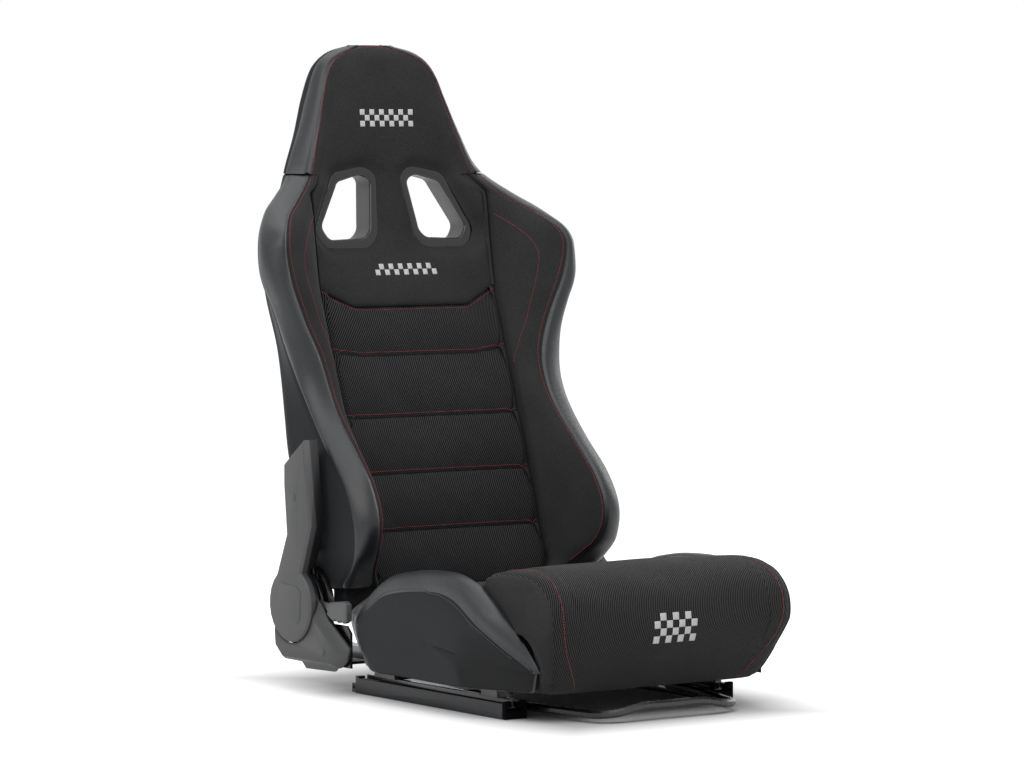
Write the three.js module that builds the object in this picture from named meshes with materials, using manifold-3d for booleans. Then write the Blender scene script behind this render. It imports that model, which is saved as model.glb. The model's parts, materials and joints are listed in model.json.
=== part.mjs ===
// Reclining racing seat on slide rails, in millimetres. +Z is up, the seat faces -Y and the
// occupant's left is +X. Lengths along Y are counted from the front end of the rails, and the
// whole group is moved at the end so that its origin is under the middle of the seat.
import * as THREE from 'three';
import { mergeVertices } from 'three/addons/utils/BufferGeometryUtils.js';
import Module from 'manifold-3d';

const wasm = await Module();
wasm.setup();

// ---- driving dimensions -------------------------------------------------------------------

const GAP = 0.4;                       // clearance between pieces that touch
const ORIGIN_Y = 255.3;                // middle of the seat, behind the rails' front end
const SIDES = [{ name: 'right', sign: -1 }, { name: 'left', sign: 1 }];

const RAIL = { x: 180, length: 356, width: 37, height: 22, sheet: 2, lip: 10.5, top: 27 };
const FLANGE = { halfWidth: 13, bottom: 12.5, top: 15.5, webHalf: 5.5 };
const MEMBER = { low: 49.2, high: 66 };   // seat frame's side channels
const HINGE = { y: 426, z: 126 };      // recline axis, parallel to X
const SHAFT_RADIUS = 5;

const SEAM_X = 155;                    // seam between the centre of the back and its wings
const PANEL = 4;                       // rear panel
const BACK_BOTTOM = 146;
const HEAD_BOTTOM = 739;               // where the shoulders end and the headrest starts
const HEAD_TOP = 930;

const TUBE_RADIUS = 10;                // back frame tubes
const CUSHION = { halfWidth: 213, padHalf: 165.5, bottom: 74, rear: 345, rollRear: 22 };
const BOLSTER_OUTER = 246;

// Planes of the recliner, counted outwards from the middle of the seat.
const ARM = { in: 238.5, out: 243.5 };
const BASE = { in: 244.5, out: 248.5 };
const LEVER = { in: 249.4, out: 252.6 };
const SPRING = { in: 255, out: 259 };
const COVER = { armIn: 245, in: 253.4, out: 270, lowerOut: 266, wall: 2.5 };
const DISC_RADIUS = 54.5;

// ---- materials ----------------------------------------------------------------------------

function finish(color, roughness, metalness) {
  return () => new THREE.MeshStandardMaterial({ color, roughness, metalness });
}

const meshCloth = finish(0x1b1b1c, 0.9, 0);
const suedeCloth = finish(0x18181a, 0.95, 0);
const leather = finish(0x141518, 0.45, 0);
const smoothVinyl = finish(0x222224, 0.6, 0);
const mouldedPlastic = finish(0x4a4b4d, 0.55, 0);
const glossPlastic = finish(0x0b0c0e, 0.15, 0);
const blackSteel = finish(0x121212, 0.4, 0.7);
const railSteel = finish(0x46474a, 0.35, 0.8);
const zincSteel = finish(0x9a9c9e, 0.3, 0.9);
const springSteel = finish(0x5a5c60, 0.35, 0.9);
const webbingCloth = finish(0x2a2a2a, 0.9, 0);
const rubber = finish(0x101010, 0.8, 0);

// ---- helpers ------------------------------------------------------------------------------

/** A smooth function through [position, value] pairs, held flat beyond its ends. */
function profile(pairs) {
  const slope = (i) => {
    const [a, b] = [pairs[Math.max(i - 1, 0)], pairs[Math.min(i + 1, pairs.length - 1)]];
    return (b[1] - a[1]) / (b[0] - a[0]);
  };
  return (at) => {
    if (at <= pairs[0][0]) return pairs[0][1];
    if (at >= pairs[pairs.length - 1][0]) return pairs[pairs.length - 1][1];
    const i = pairs.findIndex((pair) => pair[0] > at) - 1;
    const span = pairs[i + 1][0] - pairs[i][0];
    const t = (at - pairs[i][0]) / span;
    const [t2, t3] = [t * t, t * t * t];
    return (2 * t3 - 3 * t2 + 1) * pairs[i][1] + (t3 - 2 * t2 + t) * span * slope(i)
      + (3 * t2 - 2 * t3) * pairs[i + 1][1] + (t3 - t2) * span * slope(i + 1);
  };
}

/** Turns a geometry into a solid that can be cut and joined. */
function solid(geometry) {
  const bare = geometry.index ? geometry.clone() : geometry;
  bare.deleteAttribute('normal');
  bare.deleteAttribute('uv');
  const merged = mergeVertices(bare, 1e-4);
  const vertProperties = new Float32Array(merged.attributes.position.array);
  const triVerts = new Uint32Array(merged.index.array);
  return new wasm.Manifold(new wasm.Mesh({ numProp: 3, vertProperties, triVerts }));
}

/** Turns a cut solid back into a geometry with flat faces. */
function geometryOf(manifold) {
  const mesh = manifold.getMesh();
  const geometry = new THREE.BufferGeometry();
  geometry.setAttribute('position', new THREE.BufferAttribute(mesh.vertProperties, 3));
  geometry.setIndex(new THREE.BufferAttribute(mesh.triVerts, 1));
  const flat = geometry.toNonIndexed();
  flat.computeVertexNormals();
  return flat;
}

function join(geometries) {
  return geometryOf(geometries.map(solid).reduce((a, b) => a.add(b)));
}

function cut(geometry, ...tools) {
  return geometryOf(tools.map(solid).reduce((a, b) => a.subtract(b), solid(geometry)));
}

/** The same geometry on the other side of the seat. */
function mirror(geometry) {
  const flat = geometry.index ? geometry.toNonIndexed() : geometry.clone();
  const p = flat.attributes.position;
  for (let i = 0; i < p.count; i += 3) {
    const [a, b, c] = [0, 2, 1].map((k) => new THREE.Vector3().fromBufferAttribute(p, i + k));
    [a, b, c].forEach((v, k) => p.setXYZ(i + k, -v.x, v.y, v.z));
  }
  flat.computeVertexNormals();
  return flat;
}

/** A geometry built at +X, handed back for the side asked for. */
function onSide(geometry, side) {
  return side.sign > 0 ? geometry : mirror(geometry);
}

/** A closed solid through rings of equally many points, with flat ends, faces outwards. */
function loft(rings, flatten = (v) => new THREE.Vector2(v.x, v.y)) {
  const count = rings[0].length;
  const triangles = [];
  for (let r = 0; r + 1 < rings.length; r += 1) {
    for (let i = 0; i < count; i += 1) {
      const next = (i + 1) % count;
      const [a, b, c, d] = [rings[r][i], rings[r][next], rings[r + 1][next], rings[r + 1][i]];
      triangles.push(a, b, c, a, c, d);
    }
  }
  const cap = (ring, reversed) => {
    const faces = THREE.ShapeUtils.triangulateShape(ring.map(flatten), []);
    faces.forEach(([a, b, c]) => triangles.push(...(reversed ? [c, b, a] : [a, b, c]).map((k) => ring[k])));
  };
  const anticlockwise = !THREE.ShapeUtils.isClockWise(rings[0].map(flatten));
  cap(rings[0], anticlockwise);
  cap(rings[rings.length - 1], !anticlockwise);
  let volume = 0;
  for (let i = 0; i < triangles.length; i += 3) {
    volume += triangles[i].dot(new THREE.Vector3().crossVectors(triangles[i + 1], triangles[i + 2]));
  }
  return new THREE.BufferGeometry().setFromPoints(volume < 0 ? triangles.reverse() : triangles);
}

function box(x, y, z) {
  const geometry = new THREE.BoxGeometry(x[1] - x[0], y[1] - y[0], z[1] - z[0]);
  return geometry.translate((x[0] + x[1]) / 2, (y[0] + y[1]) / 2, (z[0] + z[1]) / 2);
}

/** A round bar along X. */
function bar(x0, x1, y, z, radius, segments = 20) {
  const geometry = new THREE.CylinderGeometry(radius, radius, x1 - x0, segments);
  return geometry.rotateZ(Math.PI / 2).translate((x0 + x1) / 2, y, z);
}

/** A round post along Z. */
function post(x, y, z0, z1, radius, segments = 16) {
  const geometry = new THREE.CylinderGeometry(radius, radius, z1 - z0, segments);
  return geometry.rotateX(Math.PI / 2).translate(x, y, (z0 + z1) / 2);
}

/** A shape from a list of points, or the shape itself. */
function shapeOf(outline) {
  if (outline instanceof THREE.Shape) return outline;
  return new THREE.Shape(outline.map(([a, b]) => new THREE.Vector2(a, b)));
}

/** An outline in the YZ plane, given thickness along X. */
function plateX(outline, x0, x1, bevel = 0) {
  const shape = shapeOf(outline);
  const options = {
    depth: x1 - x0 - 2 * bevel, bevelEnabled: bevel > 0, bevelSize: bevel, bevelThickness: bevel,
    bevelOffset: -bevel, bevelSegments: 1, curveSegments: 10,
  };
  const geometry = new THREE.ExtrudeGeometry(shape, options);
  const turn = new THREE.Matrix4().makeBasis(new THREE.Vector3(0, 1, 0), new THREE.Vector3(0, 0, 1),
    new THREE.Vector3(1, 0, 0));
  return geometry.applyMatrix4(turn).translate(x0 + bevel, 0, 0);
}

/** An outline in the XZ plane, given thickness along Y. */
function plateY(outline, y0, y1) {
  const shape = shapeOf(outline);
  const options = { depth: y1 - y0, bevelEnabled: false, curveSegments: 6 };
  const geometry = new THREE.ExtrudeGeometry(shape, options);
  return geometry.rotateX(Math.PI / 2).translate(0, y1, 0);
}

/** A solid round rod along a curve. */
function rod(curve, radius, steps, sides = 8) {
  const circle = Array.from({ length: sides }, (_, k) => {
    const angle = (2 * Math.PI * (k + 0.5)) / sides;
    return new THREE.Vector2(radius * Math.cos(angle), radius * Math.sin(angle));
  });
  const options = { steps, extrudePath: curve, bevelEnabled: false };
  return new THREE.ExtrudeGeometry(new THREE.Shape(circle), options);
}

const seat = new THREE.Group();

/** Adds one named piece to the seat. */
function piece(name, geometry, material) {
  const mesh = new THREE.Mesh(geometry, material());
  mesh.name = name;
  seat.add(mesh);
}

/** Adds a right and a left piece, built at +X and mirrored for the right. */
function pair(name, geometry, material) {
  SIDES.forEach((side) => piece(`${name}_${side.name}`, onSide(geometry, side), material));
}

/** Adds a right and a left piece that differ with the recliner arm of their side. */
function armed(name, build, material) {
  SIDES.forEach((side) => piece(`${name}_${side.name}`, onSide(build(ARMS[side.name]), side), material));
}

// ---- slide rails --------------------------------------------------------------------------

/** C-section floor rail with bolt holes, latch windows and, at the rear, an end plate and a drilled tab. */
function lowerRail() {
  const [half, sheet, lip, height] = [RAIL.width / 2, RAIL.sheet, RAIL.lip, RAIL.height];
  const section = [
    [-half, 0], [half, 0], [half, height], [half - lip, height], [half - lip, height - sheet],
    [half - sheet, height - sheet], [half - sheet, sheet], [-half + sheet, sheet],
    [-half + sheet, height - sheet], [-half + lip, height - sheet], [-half + lip, height], [-half, height],
  ].map(([x, z]) => [x + RAIL.x, z]);
  const channel = plateY(section, 0, RAIL.length);
  const boltHoles = [RAIL.length - 48, 48].map((y) => post(RAIL.x, y, -1, 4, 4.25, 12));
  const windowPitch = 14;
  const windows = Array.from({ length: 8 }, (_, k) => {
    const y = 40 + k * windowPitch;
    return box([RAIL.x - half - 1, RAIL.x - half + 4], [y, y + 6], [7, 13]);
  });
  const endPlate = railEnd(RAIL.length - 1, RAIL.length + 6);
  const endTab = box([RAIL.x + half - 3, RAIL.x + half], [RAIL.length - 1, RAIL.length + 15], [1, 14]);
  const tabHole = bar(RAIL.x + half - 4, RAIL.x + half + 1, RAIL.length + 10.5, 8, 2.2, 12);
  return cut(join([channel, endPlate, endTab]), ...boltHoles, ...windows, tabHole);
}

/** Moving rail: a folded web with two flanges held under the floor rail's lips. */
function upperRail() {
  const { halfWidth, bottom, top, webHalf } = FLANGE;
  const section = [
    [-halfWidth, bottom], [halfWidth, bottom], [halfWidth, top], [webHalf, top],
    [webHalf, RAIL.top], [-webHalf, RAIL.top], [-webHalf, top], [-halfWidth, top],
  ].map(([x, z]) => [x + RAIL.x, z]);
  return plateY(section, 4, RAIL.length - 4);
}

/** End of the floor rail, open in the middle for the moving rail. */
function railEnd(y0, y1) {
  const half = RAIL.width / 2;
  const { halfWidth, bottom, top, webHalf } = FLANGE;
  const section = [
    [-half, 0], [half, 0], [half, 25], [webHalf + 1, 25], [webHalf + 1, top + 1], [halfWidth + 1, top + 1],
    [halfWidth + 1, bottom - 1], [-halfWidth - 1, bottom - 1], [-halfWidth - 1, top + 1],
    [-webHalf - 1, top + 1], [-webHalf - 1, 25], [-half, 25],
  ].map(([x, z]) => [x + RAIL.x, z]);
  return plateY(section, y0, y1);
}

/** Cage with balls above and rollers below the moving rail's flanges, at two places. */
function rollerCage() {
  const [ballRadius, rollerRadius, axleRadius] = [2.05, 5.05, 1.2];
  const rollerZ = RAIL.sheet + 0.2 + rollerRadius;
  const ballZ = FLANGE.top + 0.2 + ballRadius;
  const parts = [];
  [90, 260].forEach((y) => {
    parts.push(bar(RAIL.x - 10, RAIL.x + 10, y, rollerZ, rollerRadius, 12));
    parts.push(bar(RAIL.x - 14.6, RAIL.x + 14.6, y, rollerZ, axleRadius, 6));
    [-1, 1].forEach((side) => {
      const ball = new THREE.SphereGeometry(ballRadius, 8, 6).rotateX(Math.PI / 2);
      parts.push(ball.translate(RAIL.x + side * 9.6, y, ballZ));
      const arm = bar(9.6, 14.6, y, ballZ, 0.8, 6);
      parts.push((side > 0 ? arm : mirror(arm)).translate(RAIL.x, 0, 0));
    });
  });
  [-15.4, 14.1].forEach((x) => parts.push(box([RAIL.x + x, RAIL.x + x + 1.3], [84, 266], [5.5, 19])));
  return join(parts);
}

/** Bracket that holds the latch pivot on the inner side of one moving rail. */
function latchBracket() {
  const inner = RAIL.x - RAIL.width / 2 - 4;
  const top = box([inner, RAIL.x + 10], [66, 104], [RAIL.top + GAP, RAIL.top + 3]);
  const cheek = box([inner, inner + 2.5], [66, 104], [8, RAIL.top + 3]);
  const pin = bar(inner - 9, inner + 1, 96, 15, 3, 12);
  return join([top, cheek, pin]);
}

/** Front handle: a bent bar whose two arms turn on the latch pivots. */
function towelBar() {
  const armX = RAIL.x - RAIL.width / 2 - 11;
  const [front, corner, low, raised] = [-121, 35, 12, 20];
  const half = [
    [armX, 82, 15], [armX - 2, 20, 14], [124, front + corner, low], [119, front + corner * 0.45, low],
    [107, front + 6, low + 0.5], [90, front, low + 2], [55, front - 1, raised], [0, front - 1, raised],
  ].map(([x, y, z]) => new THREE.Vector3(x, y, z));
  const path = [...half, ...half.slice(0, -1).reverse().map((v) => new THREE.Vector3(-v.x, v.y, v.z))];
  return rod(new THREE.CatmullRomCurve3(path, false, 'centripetal'), 6, 60, 8);
}

/** Toothed plate on one arm of the handle, drawn just clear of the windows in the floor rail. */
function latchPlate() {
  const wall = RAIL.x - RAIL.width / 2;
  const plate = plateX([[82.6, 9], [112, 9], [112, 21], [82.6, 21]], wall - 12, wall - 8);
  const hole = bar(wall - 14, wall - 5, 96, 15, 3.4, 12);
  return cut(plate, hole);
}

/** Leaf spring that pushes one latch plate home. */
function latchSpring() {
  const wall = RAIL.x - RAIL.width / 2;
  return box([wall - 12, wall - 4.4], [84, 120], [23.2, 24.2]);
}

// ---- seat frame ---------------------------------------------------------------------------

/** Pressed channel along one side of the seat, open downwards, with its two feet welded on. */
function sideMember() {
  const [inner, outer, low, high] = [RAIL.x - 14, RAIL.x + 14, MEMBER.low, MEMBER.high];
  const wall = 3;
  const section = [
    [inner, low], [inner + wall, low], [inner + wall, high - wall], [outer - wall, high - wall],
    [outer - wall, low], [outer, low], [outer, high], [inner, high],
  ];
  const foot = (y0, y1, slope) => plateX([[y0, RAIL.top + GAP], [y1, RAIL.top + GAP], [y1 - slope, low + 1],
    [y0 + slope, low + 1]], inner, outer);
  return join([plateY(section, -38, 428), foot(18, 58, 4), foot(268, 322, 8)]);
}

/** Straight tube across the seat, open at both ends. */
function crossTube(y, z, halfLength, radius) {
  const wall = 2;
  const tube = bar(-halfLength, halfLength, y, z, radius);
  return cut(tube, bar(-halfLength - 1, halfLength + 1, y, z, radius - wall));
}

/** Elastic mat across the seat frame: four straps held apart by two cords. */
function seatMat() {
  const inner = RAIL.x - 14 - GAP;
  const straps = [40, 105, 170, 235].map((y) => box([-inner, inner], [y, y + 48], [68.6, 71]));
  const cords = [-94, 90].map((x) => box([x, x + 4], [40, 283], [68.9, 70.7]));
  return join([...straps, ...cords]);
}

// ---- seat cushion -------------------------------------------------------------------------

const seatSurface = profile([[-60, 205], [-10, 204], [40, 192], [110, 166], [200, 150], [345, 146]]);

/** Centre of the cushion behind the front roll, with a shallow crown across the seat. */
function cushionPad() {
  const ys = [0, 30, 60, 90, 130, 170, 210, 250, 300, 330, CUSHION.rear];
  const xs = [-1, -0.85, -0.5, 0, 0.5, 0.85, 1];
  const edge = [0.9, 0.98, 1, 1, 1, 0.98, 0.9];
  const rings = ys.map((y) => {
    const tail = y === CUSHION.rear ? 10 : 0;
    const low = [1, -1].map((side) => new THREE.Vector3(side * CUSHION.padHalf, y, CUSHION.bottom));
    const crown = xs.map((k, i) => {
      const z = CUSHION.bottom + (seatSurface(y) - tail - CUSHION.bottom) * edge[i];
      return new THREE.Vector3(k * CUSHION.padHalf, y, z + 4 * (1 - k * k));
    });
    return [...crown, ...low];
  });
  return loft(rings, (v) => new THREE.Vector2(v.x, v.z));
}

/** Share of its full width that the front roll has at one height. */
function rollTaper(z) {
  return 1 - 0.13 * Math.min(Math.max((125 - z) / 80, 0), 1);
}

/** Front roll of the cushion, from one front corner to the other. */
function cushionRoll() {
  const outline = [
    [CUSHION.rollRear, 78], [-43, 78], [-43, 44], [-60, 39], [-80, 41], [-96, 54], [-112, 80], [-125, 108],
    [-131, 135], [-128, 162], [-114, 184], [-90, 199], [-58, 206], [-20, 206], [CUSHION.rollRear, 199],
  ];
  const middle = [-45, 130];
  const stations = [
    [0, 1], [90, 1], [160, 1], [190, 0.98], [204, 0.93], [211, 0.85], [CUSHION.halfWidth, 0.74],
  ];
  const ring = ([x, scale], sign) => outline.map(([y, z]) => {
    const scaledY = y < -43 ? middle[0] + (y - middle[0]) * scale : y;
    const scaledZ = z > 80 ? middle[1] + (z - middle[1]) * scale : z + (1 - scale) * 30;
    return new THREE.Vector3(sign * x * rollTaper(z), scaledY, scaledZ);
  });
  const rings = [...stations.slice(1).reverse().map((s) => ring(s, -1)), ...stations.map((s) => ring(s, 1))];
  return loft(rings, (v) => new THREE.Vector2(v.y, v.z));
}

function cushionCentre() {
  return join([cushionPad(), cushionRoll()]);
}

const clamp = (share) => Math.min(Math.max(share, 0), 1);

/** How far out the bolster's outer face stands; it tucks in under the front corner. */
function bolsterFace(y, z) {
  return BOLSTER_OUTER - 46 * clamp((30 - y) / 110) * clamp((150 - z) / 85);
}

/** Side bolster of the cushion: an arched foam wall with a rounded leather ridge. */
function cushionBolster() {
  const outline = [
    [-60, 44], [258, 46], [275, 63], [296, 92], [303, 116], [289, 137], [265, 157], [238, 175], [200, 187],
    [142, 195], [80, 198], [36, 190], [0, 172], [-36, 147], [-66, 109], [-84, 76], [-88, 52],
  ];
  const base = [115, 60];
  const stations = [
    { depth: 79.5, top: 0.62, front: 0.9, back: 0.9, under: 30 },
    { depth: 66, top: 0.74, front: 0.93, back: 0.93, under: 34 },
    { depth: 41, top: 0.91, front: 0.97, back: 0.98, under: 34 },
    { depth: 24, top: 1, front: 1, back: 1, under: 34 },
    { depth: 10, top: 0.97, front: 0.95, back: 0.995, under: 6 },
    { depth: 3, top: 0.9, front: 0.88, back: 0.97, under: 0 },
    { depth: 0, top: 0.81, front: 0.79, back: 0.94, under: 0 },
  ];
  const rings = stations.map(({ depth, top, front, back, under }) => outline.map(([y, z]) => {
    const rearShare = clamp((y - 200) / 60) * clamp((152 - z) / 30);
    const newY = base[0] + (y - base[0]) * (y < base[0] ? front : back) + under * rearShare;
    const newZ = z > base[1] ? base[1] + (z - base[1]) * top : z;
    return new THREE.Vector3(bolsterFace(y, z) - depth, newY, newZ);
  }));
  const middle = [105, 96];
  for (const [share, crown] of [[0.72, 1.5], [0.38, 2.2]]) {
    rings.push(rings[6].map((v) => {
      const y = middle[0] + (v.y - middle[0]) * share;
      const z = middle[1] + (v.z - middle[1]) * share;
      return new THREE.Vector3(bolsterFace(y, z) + crown, y, z);
    }));
  }
  const rear = CUSHION.rollRear + 0.6;
  const rollRoom = loft([30, 45, 125, 260].map((z) => {
    const reach = (CUSHION.halfWidth + 1) * rollTaper(z);
    return [[100, -200], [reach, -200], [reach, rear], [100, rear]].map(([x, y]) => new THREE.Vector3(x, y, z));
  }));
  const padRoom = box([100, CUSHION.padHalf + 1], [0, 400], [0, 300]);
  const frameRoom = box([100, RAIL.x + 15], [-200, 450], [0, CUSHION.bottom]);
  return cut(loft(rings, (v) => new THREE.Vector2(v.y, v.z)), rollRoom, padRoom, frameRoom);
}

// ---- backrest, as sections at each height -------------------------------------------------

const centreY = profile([
  [140, 378], [223, 405], [306, 430], [387, 455], [476, 482], [547, 505], [600, 527], [650, 543], [700, 556],
  [756, 567], [810, 576], [850, 580], [892, 588], [911, 595], [922, 604], [HEAD_TOP, 616],
]);
const seamY = profile([
  [140, 374], [223, 398], [306, 424], [388, 452], [487, 487], [572, 516], [630, 527], [716, 541], [745, 562],
  [800, 573], [853, 582], [892, 590], [911, 597], [922, 606], [HEAD_TOP, 618],
]);
const stitchX = profile([
  [146, 158], [175, 175], [205, 190], [250, 194], [345, 190], [440, 187], [480, 191], [530, 210], [590, 234],
  [635, 243], [660, 236], [680, 217], [700, 187], [725, 158], [748, 141], [800, 123], [853, 106], [890, 92],
  [911, 72], [922, 44], [HEAD_TOP, 20],
]);
const stitchY = profile([
  [146, 372], [175, 345], [205, 312], [250, 298], [300, 320], [345, 362], [400, 416], [440, 441], [480, 456],
  [530, 465], [635, 463], [660, 474], [680, 498], [700, 524], [725, 545], [748, 560], [800, 572], [853, 583],
  [890, 591], [911, 599], [922, 609], [HEAD_TOP, 620],
]);
const edgeX = profile([
  [146, 214], [157, 219], [180, 225], [205, 231], [250, 234], [298, 232], [353, 229], [417, 229], [483, 237],
  [551, 256], [575, 265], [600, 270], [635, 270], [662, 261], [688, 239], [710, 208], [735, 177], [795, 141],
  [850, 119], [892, 103], [911, 89], [922, 70], [HEAD_TOP, 38],
]);
const edgeY = profile([
  [146, 376], [157, 365], [180, 337], [205, 319], [250, 318], [298, 343], [353, 398], [417, 449], [483, 483],
  [551, 494], [600, 504], [635, 508], [665, 519], [690, 539], [715, 563], [745, 586], [795, 603], [850, 613],
  [892, 615], [911, 615], [922, 617], [HEAD_TOP, 622],
]);
const rearX = profile([
  [146, 214], [180, 225], [250, 232], [330, 235], [430, 227], [490, 224], [560, 229], [630, 228], [650, 222],
  [675, 210], [698, 194], [717, 181], [740, 170], [795, 140], [850, 119], [892, 103], [911, 88], [922, 68],
  [HEAD_TOP, 34],
]);
// How strongly the leather edge of the back swells between its stitching and the side panel.
const edgeSwell = profile([
  [146, 0.8], [420, 0.8], [490, 1.15], [575, 1.35], [630, 1.05], [700, 0.9], [750, 0.5],
]);
const rearY = profile([
  [146, 438], [306, 488], [476, 540], [600, 577], [650, 589], [700, 599], [742, 610], [795, 629], [850, 641],
  [892, 640], [911, 633], [922, 628], [HEAD_TOP, 624],
]);

// Foam left between the back's frame and its front.
const FOAM = 32;

function padDepth(z) {
  return Math.min(FOAM, rearY(z) - centreY(z) - PANEL - 2 * TUBE_RADIUS - 3);
}

// Width of the foam rim round the rear panel.
const rimWidth = profile([[680, 12], [716, 26]]);

const CHANNELS = [
  { z: 225, rise: 0 }, { z: 306, rise: 0 }, { z: 387, rise: 1 }, { z: 476, rise: 7 }, { z: 547, rise: 26 },
];
const CHANNEL_DEPTH = 8;
const CHANNEL_BEND_X = 101;

/** How far the cloth dips at a sewn channel, and swells between two of them. */
function channelDip(z) {
  const lines = [BACK_BOTTOM, ...CHANNELS.map((channel) => channel.z)];
  const above = lines.findIndex((line) => line >= z);
  if (above < 1) return z > CHANNELS[CHANNELS.length - 1].z + 6 ? 0 : CHANNEL_DEPTH / 2;
  const t = (z - lines[above - 1]) / (lines[above] - lines[above - 1]);
  return CHANNEL_DEPTH * (1 - Math.sqrt(Math.max(Math.sin(Math.PI * t), 0)));
}

/** How much a level line climbs towards the edges of the centre panel. */
const levelRise = profile([[306, 0], [387, 1], [476, 7], [547, 26], [600, 12], [640, 0]]);

function cubic(a, b, c, d, t) {
  const s = 1 - t;
  return a.clone().multiplyScalar(s * s * s).addScaledVector(b, 3 * s * s * t)
    .addScaledVector(c, 3 * s * t * t).addScaledVector(d, t * t * t);
}

/** Right-hand half of the back's outline at one level, from the front middle to the rear middle. */
function backHalf(level, withChannels) {
  const points = [];
  const seamX = Math.min(SEAM_X, stitchX(level) * 0.9);
  [0, 0.3, 0.65, 0.9, 1].forEach((k) => {
    const x = k * seamX;
    const climb = Math.min(Math.max((x - CHANNEL_BEND_X) / (SEAM_X - CHANNEL_BEND_X), 0), 1);
    const z = level + levelRise(level) * climb;
    const dip = withChannels ? channelDip(level) : 0;
    const hollow = (seamY(z) - centreY(z)) * k * k;
    points.push(new THREE.Vector3(x, centreY(z) + hollow + dip, z));
  });
  const seam = points[4];
  const stitch = new THREE.Vector3(stitchX(level), stitchY(level), level);
  const edge = new THREE.Vector3(edgeX(level), edgeY(level), level);
  const rear = new THREE.Vector3(rearX(level), rearY(level), level);
  const swell = Math.min(seam.distanceTo(stitch) * 0.12, 9);
  [0.3, 0.62].forEach((t) => {
    const p = seam.clone().lerp(stitch, t);
    p.y -= swell * Math.sin(Math.PI * t);
    points.push(p);
  });
  points.push(stitch);
  const width = stitch.distanceTo(edge) * edgeSwell(level);
  const first = stitch.clone().add(new THREE.Vector3(width * 0.42, -width * 0.28, 0));
  const second = edge.clone().add(new THREE.Vector3(width * 0.12, -width * 0.48, 0));
  [0.22, 0.45, 0.68, 0.86].forEach((t) => points.push(cubic(stitch, first, second, edge, t)));
  points.push(edge);
  const round = Math.min(22, (rear.y - edge.y) * 0.8, rear.x * 0.5);
  [0, 45, 90].forEach((degrees) => {
    const angle = THREE.MathUtils.degToRad(degrees);
    const x = rear.x - round + round * Math.cos(angle);
    points.push(new THREE.Vector3(x, rear.y - round + round * Math.sin(angle), level));
  });
  points.push(new THREE.Vector3((rear.x - round) * 0.5, rear.y, level));
  points.push(new THREE.Vector3(0, rear.y, level));
  return points;
}

/** Levels at which the back is sectioned: close together at the channels and where it curves. */
function backLevels() {
  const levels = [BACK_BOTTOM];
  const lines = [BACK_BOTTOM, ...CHANNELS.map((channel) => channel.z)];
  lines.slice(1).forEach((line, k) => {
    [0.06, 0.22, 0.5, 0.78, 0.94, 1].forEach((t) => levels.push(lines[k] + (line - lines[k]) * t));
  });
  return [...levels, 554, 572, 600, 622, 645, 662, 678, 692, 706, 722, 738.6];
}

/** The whole upholstered back below the headrest, in one piece. */
function backBody(withChannels) {
  return loft(backLevels().map((level) => {
    const half = backHalf(level, withChannels);
    const other = half.slice(1, -1).reverse().map((v) => new THREE.Vector3(-v.x, v.y, v.z));
    return [...half, ...other];
  }));
}

/** A solid of rectangular sections, each given as half width, front and back at its level. */
function slab(levels, section) {
  return loft(levels.map((z) => {
    const [half, front, back] = section(z);
    const corners = [[-half, front], [half, front], [half, back], [-half, back]];
    return corners.map(([x, y]) => new THREE.Vector3(x, y, z));
  }));
}

/** Heights 20 mm apart between two heights, which are included. */
function levelsBetween(from, to) {
  const levels = [from];
  for (let z = Math.floor(from / 20 + 1) * 20; z < to - 1; z += 20) levels.push(z);
  return [...levels, to];
}

/** The room behind the foam for the back frame, open to the rear. */
function frameRoom(from, to) {
  const section = (z) => [rearX(z) - rimWidth(z), centreY(z) + padDepth(z), rearY(z) + 60];
  return slab(levelsBetween(from, to), section);
}

/** The region between two heights, with the chevron edge that climbs to the side seams. */
function chevronRegion(shift, upwards) {
  const { z, rise } = CHANNELS[CHANNELS.length - 1];
  const side = SEAM_X + 40;
  const line = [[-side, z + rise], [-SEAM_X, z + rise], [-CHANNEL_BEND_X, z], [CHANNEL_BEND_X, z],
    [SEAM_X, z + rise], [side, z + rise]].map(([x, height]) => [x, height + shift]);
  const end = upwards ? 1200 : -100;
  return plateY([...line, [side, end], [-side, end]], 200, 800);
}

// Outer edge of a harness slot's bezel for the occupant's left, in the XZ plane.
const SLOT = {
  outline: [[33, 648], [50, 632], [125, 632], [141, 656], [97, 740], [42, 750], [22, 738]],
  middle: [76, 690], rim: 11, frontY: 547, bottom: 632, lean: 0.235, depth: 6,
};

/** The slot's outline drawn in by one amount, with a hole drawn in by another. */
function slotShape(inset, holeInset) {
  const [middleX, middleZ] = SLOT.middle;
  const drawnIn = (amount) => SLOT.outline.map(([x, z]) => {
    const keep = 1 - amount / Math.hypot(x - middleX, z - middleZ);
    return new THREE.Vector2(middleX + (x - middleX) * keep, middleZ + (z - middleZ) * keep);
  });
  const shape = new THREE.Shape(drawnIn(inset));
  if (holeInset !== undefined) shape.holes.push(new THREE.Path(drawnIn(holeInset)));
  return shape;
}

/** A ring round a harness slot, leaning with it, from one depth to another behind its front. */
function slotRing(inset, holeInset, fromDepth, toDepth) {
  const ring = plateY(slotShape(inset, holeInset), 0, toDepth - fromDepth);
  const p = ring.attributes.position;
  for (let i = 0; i < p.count; i += 1) {
    p.setY(i, p.getY(i) + SLOT.frontY + fromDepth + SLOT.lean * (p.getZ(i) - SLOT.bottom));
  }
  return ring;
}

/** Sleeve through a harness slot, with the flange that closes it at the rear panel. */
function harnessSleeve() {
  const sleeve = slotRing(SLOT.rim - 3, SLOT.rim, SLOT.depth + GAP, slotRear + 3);
  return join([sleeve, slotRing(-6, SLOT.rim, slotRear + 2.6, slotRear + 6)]);
}

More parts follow.
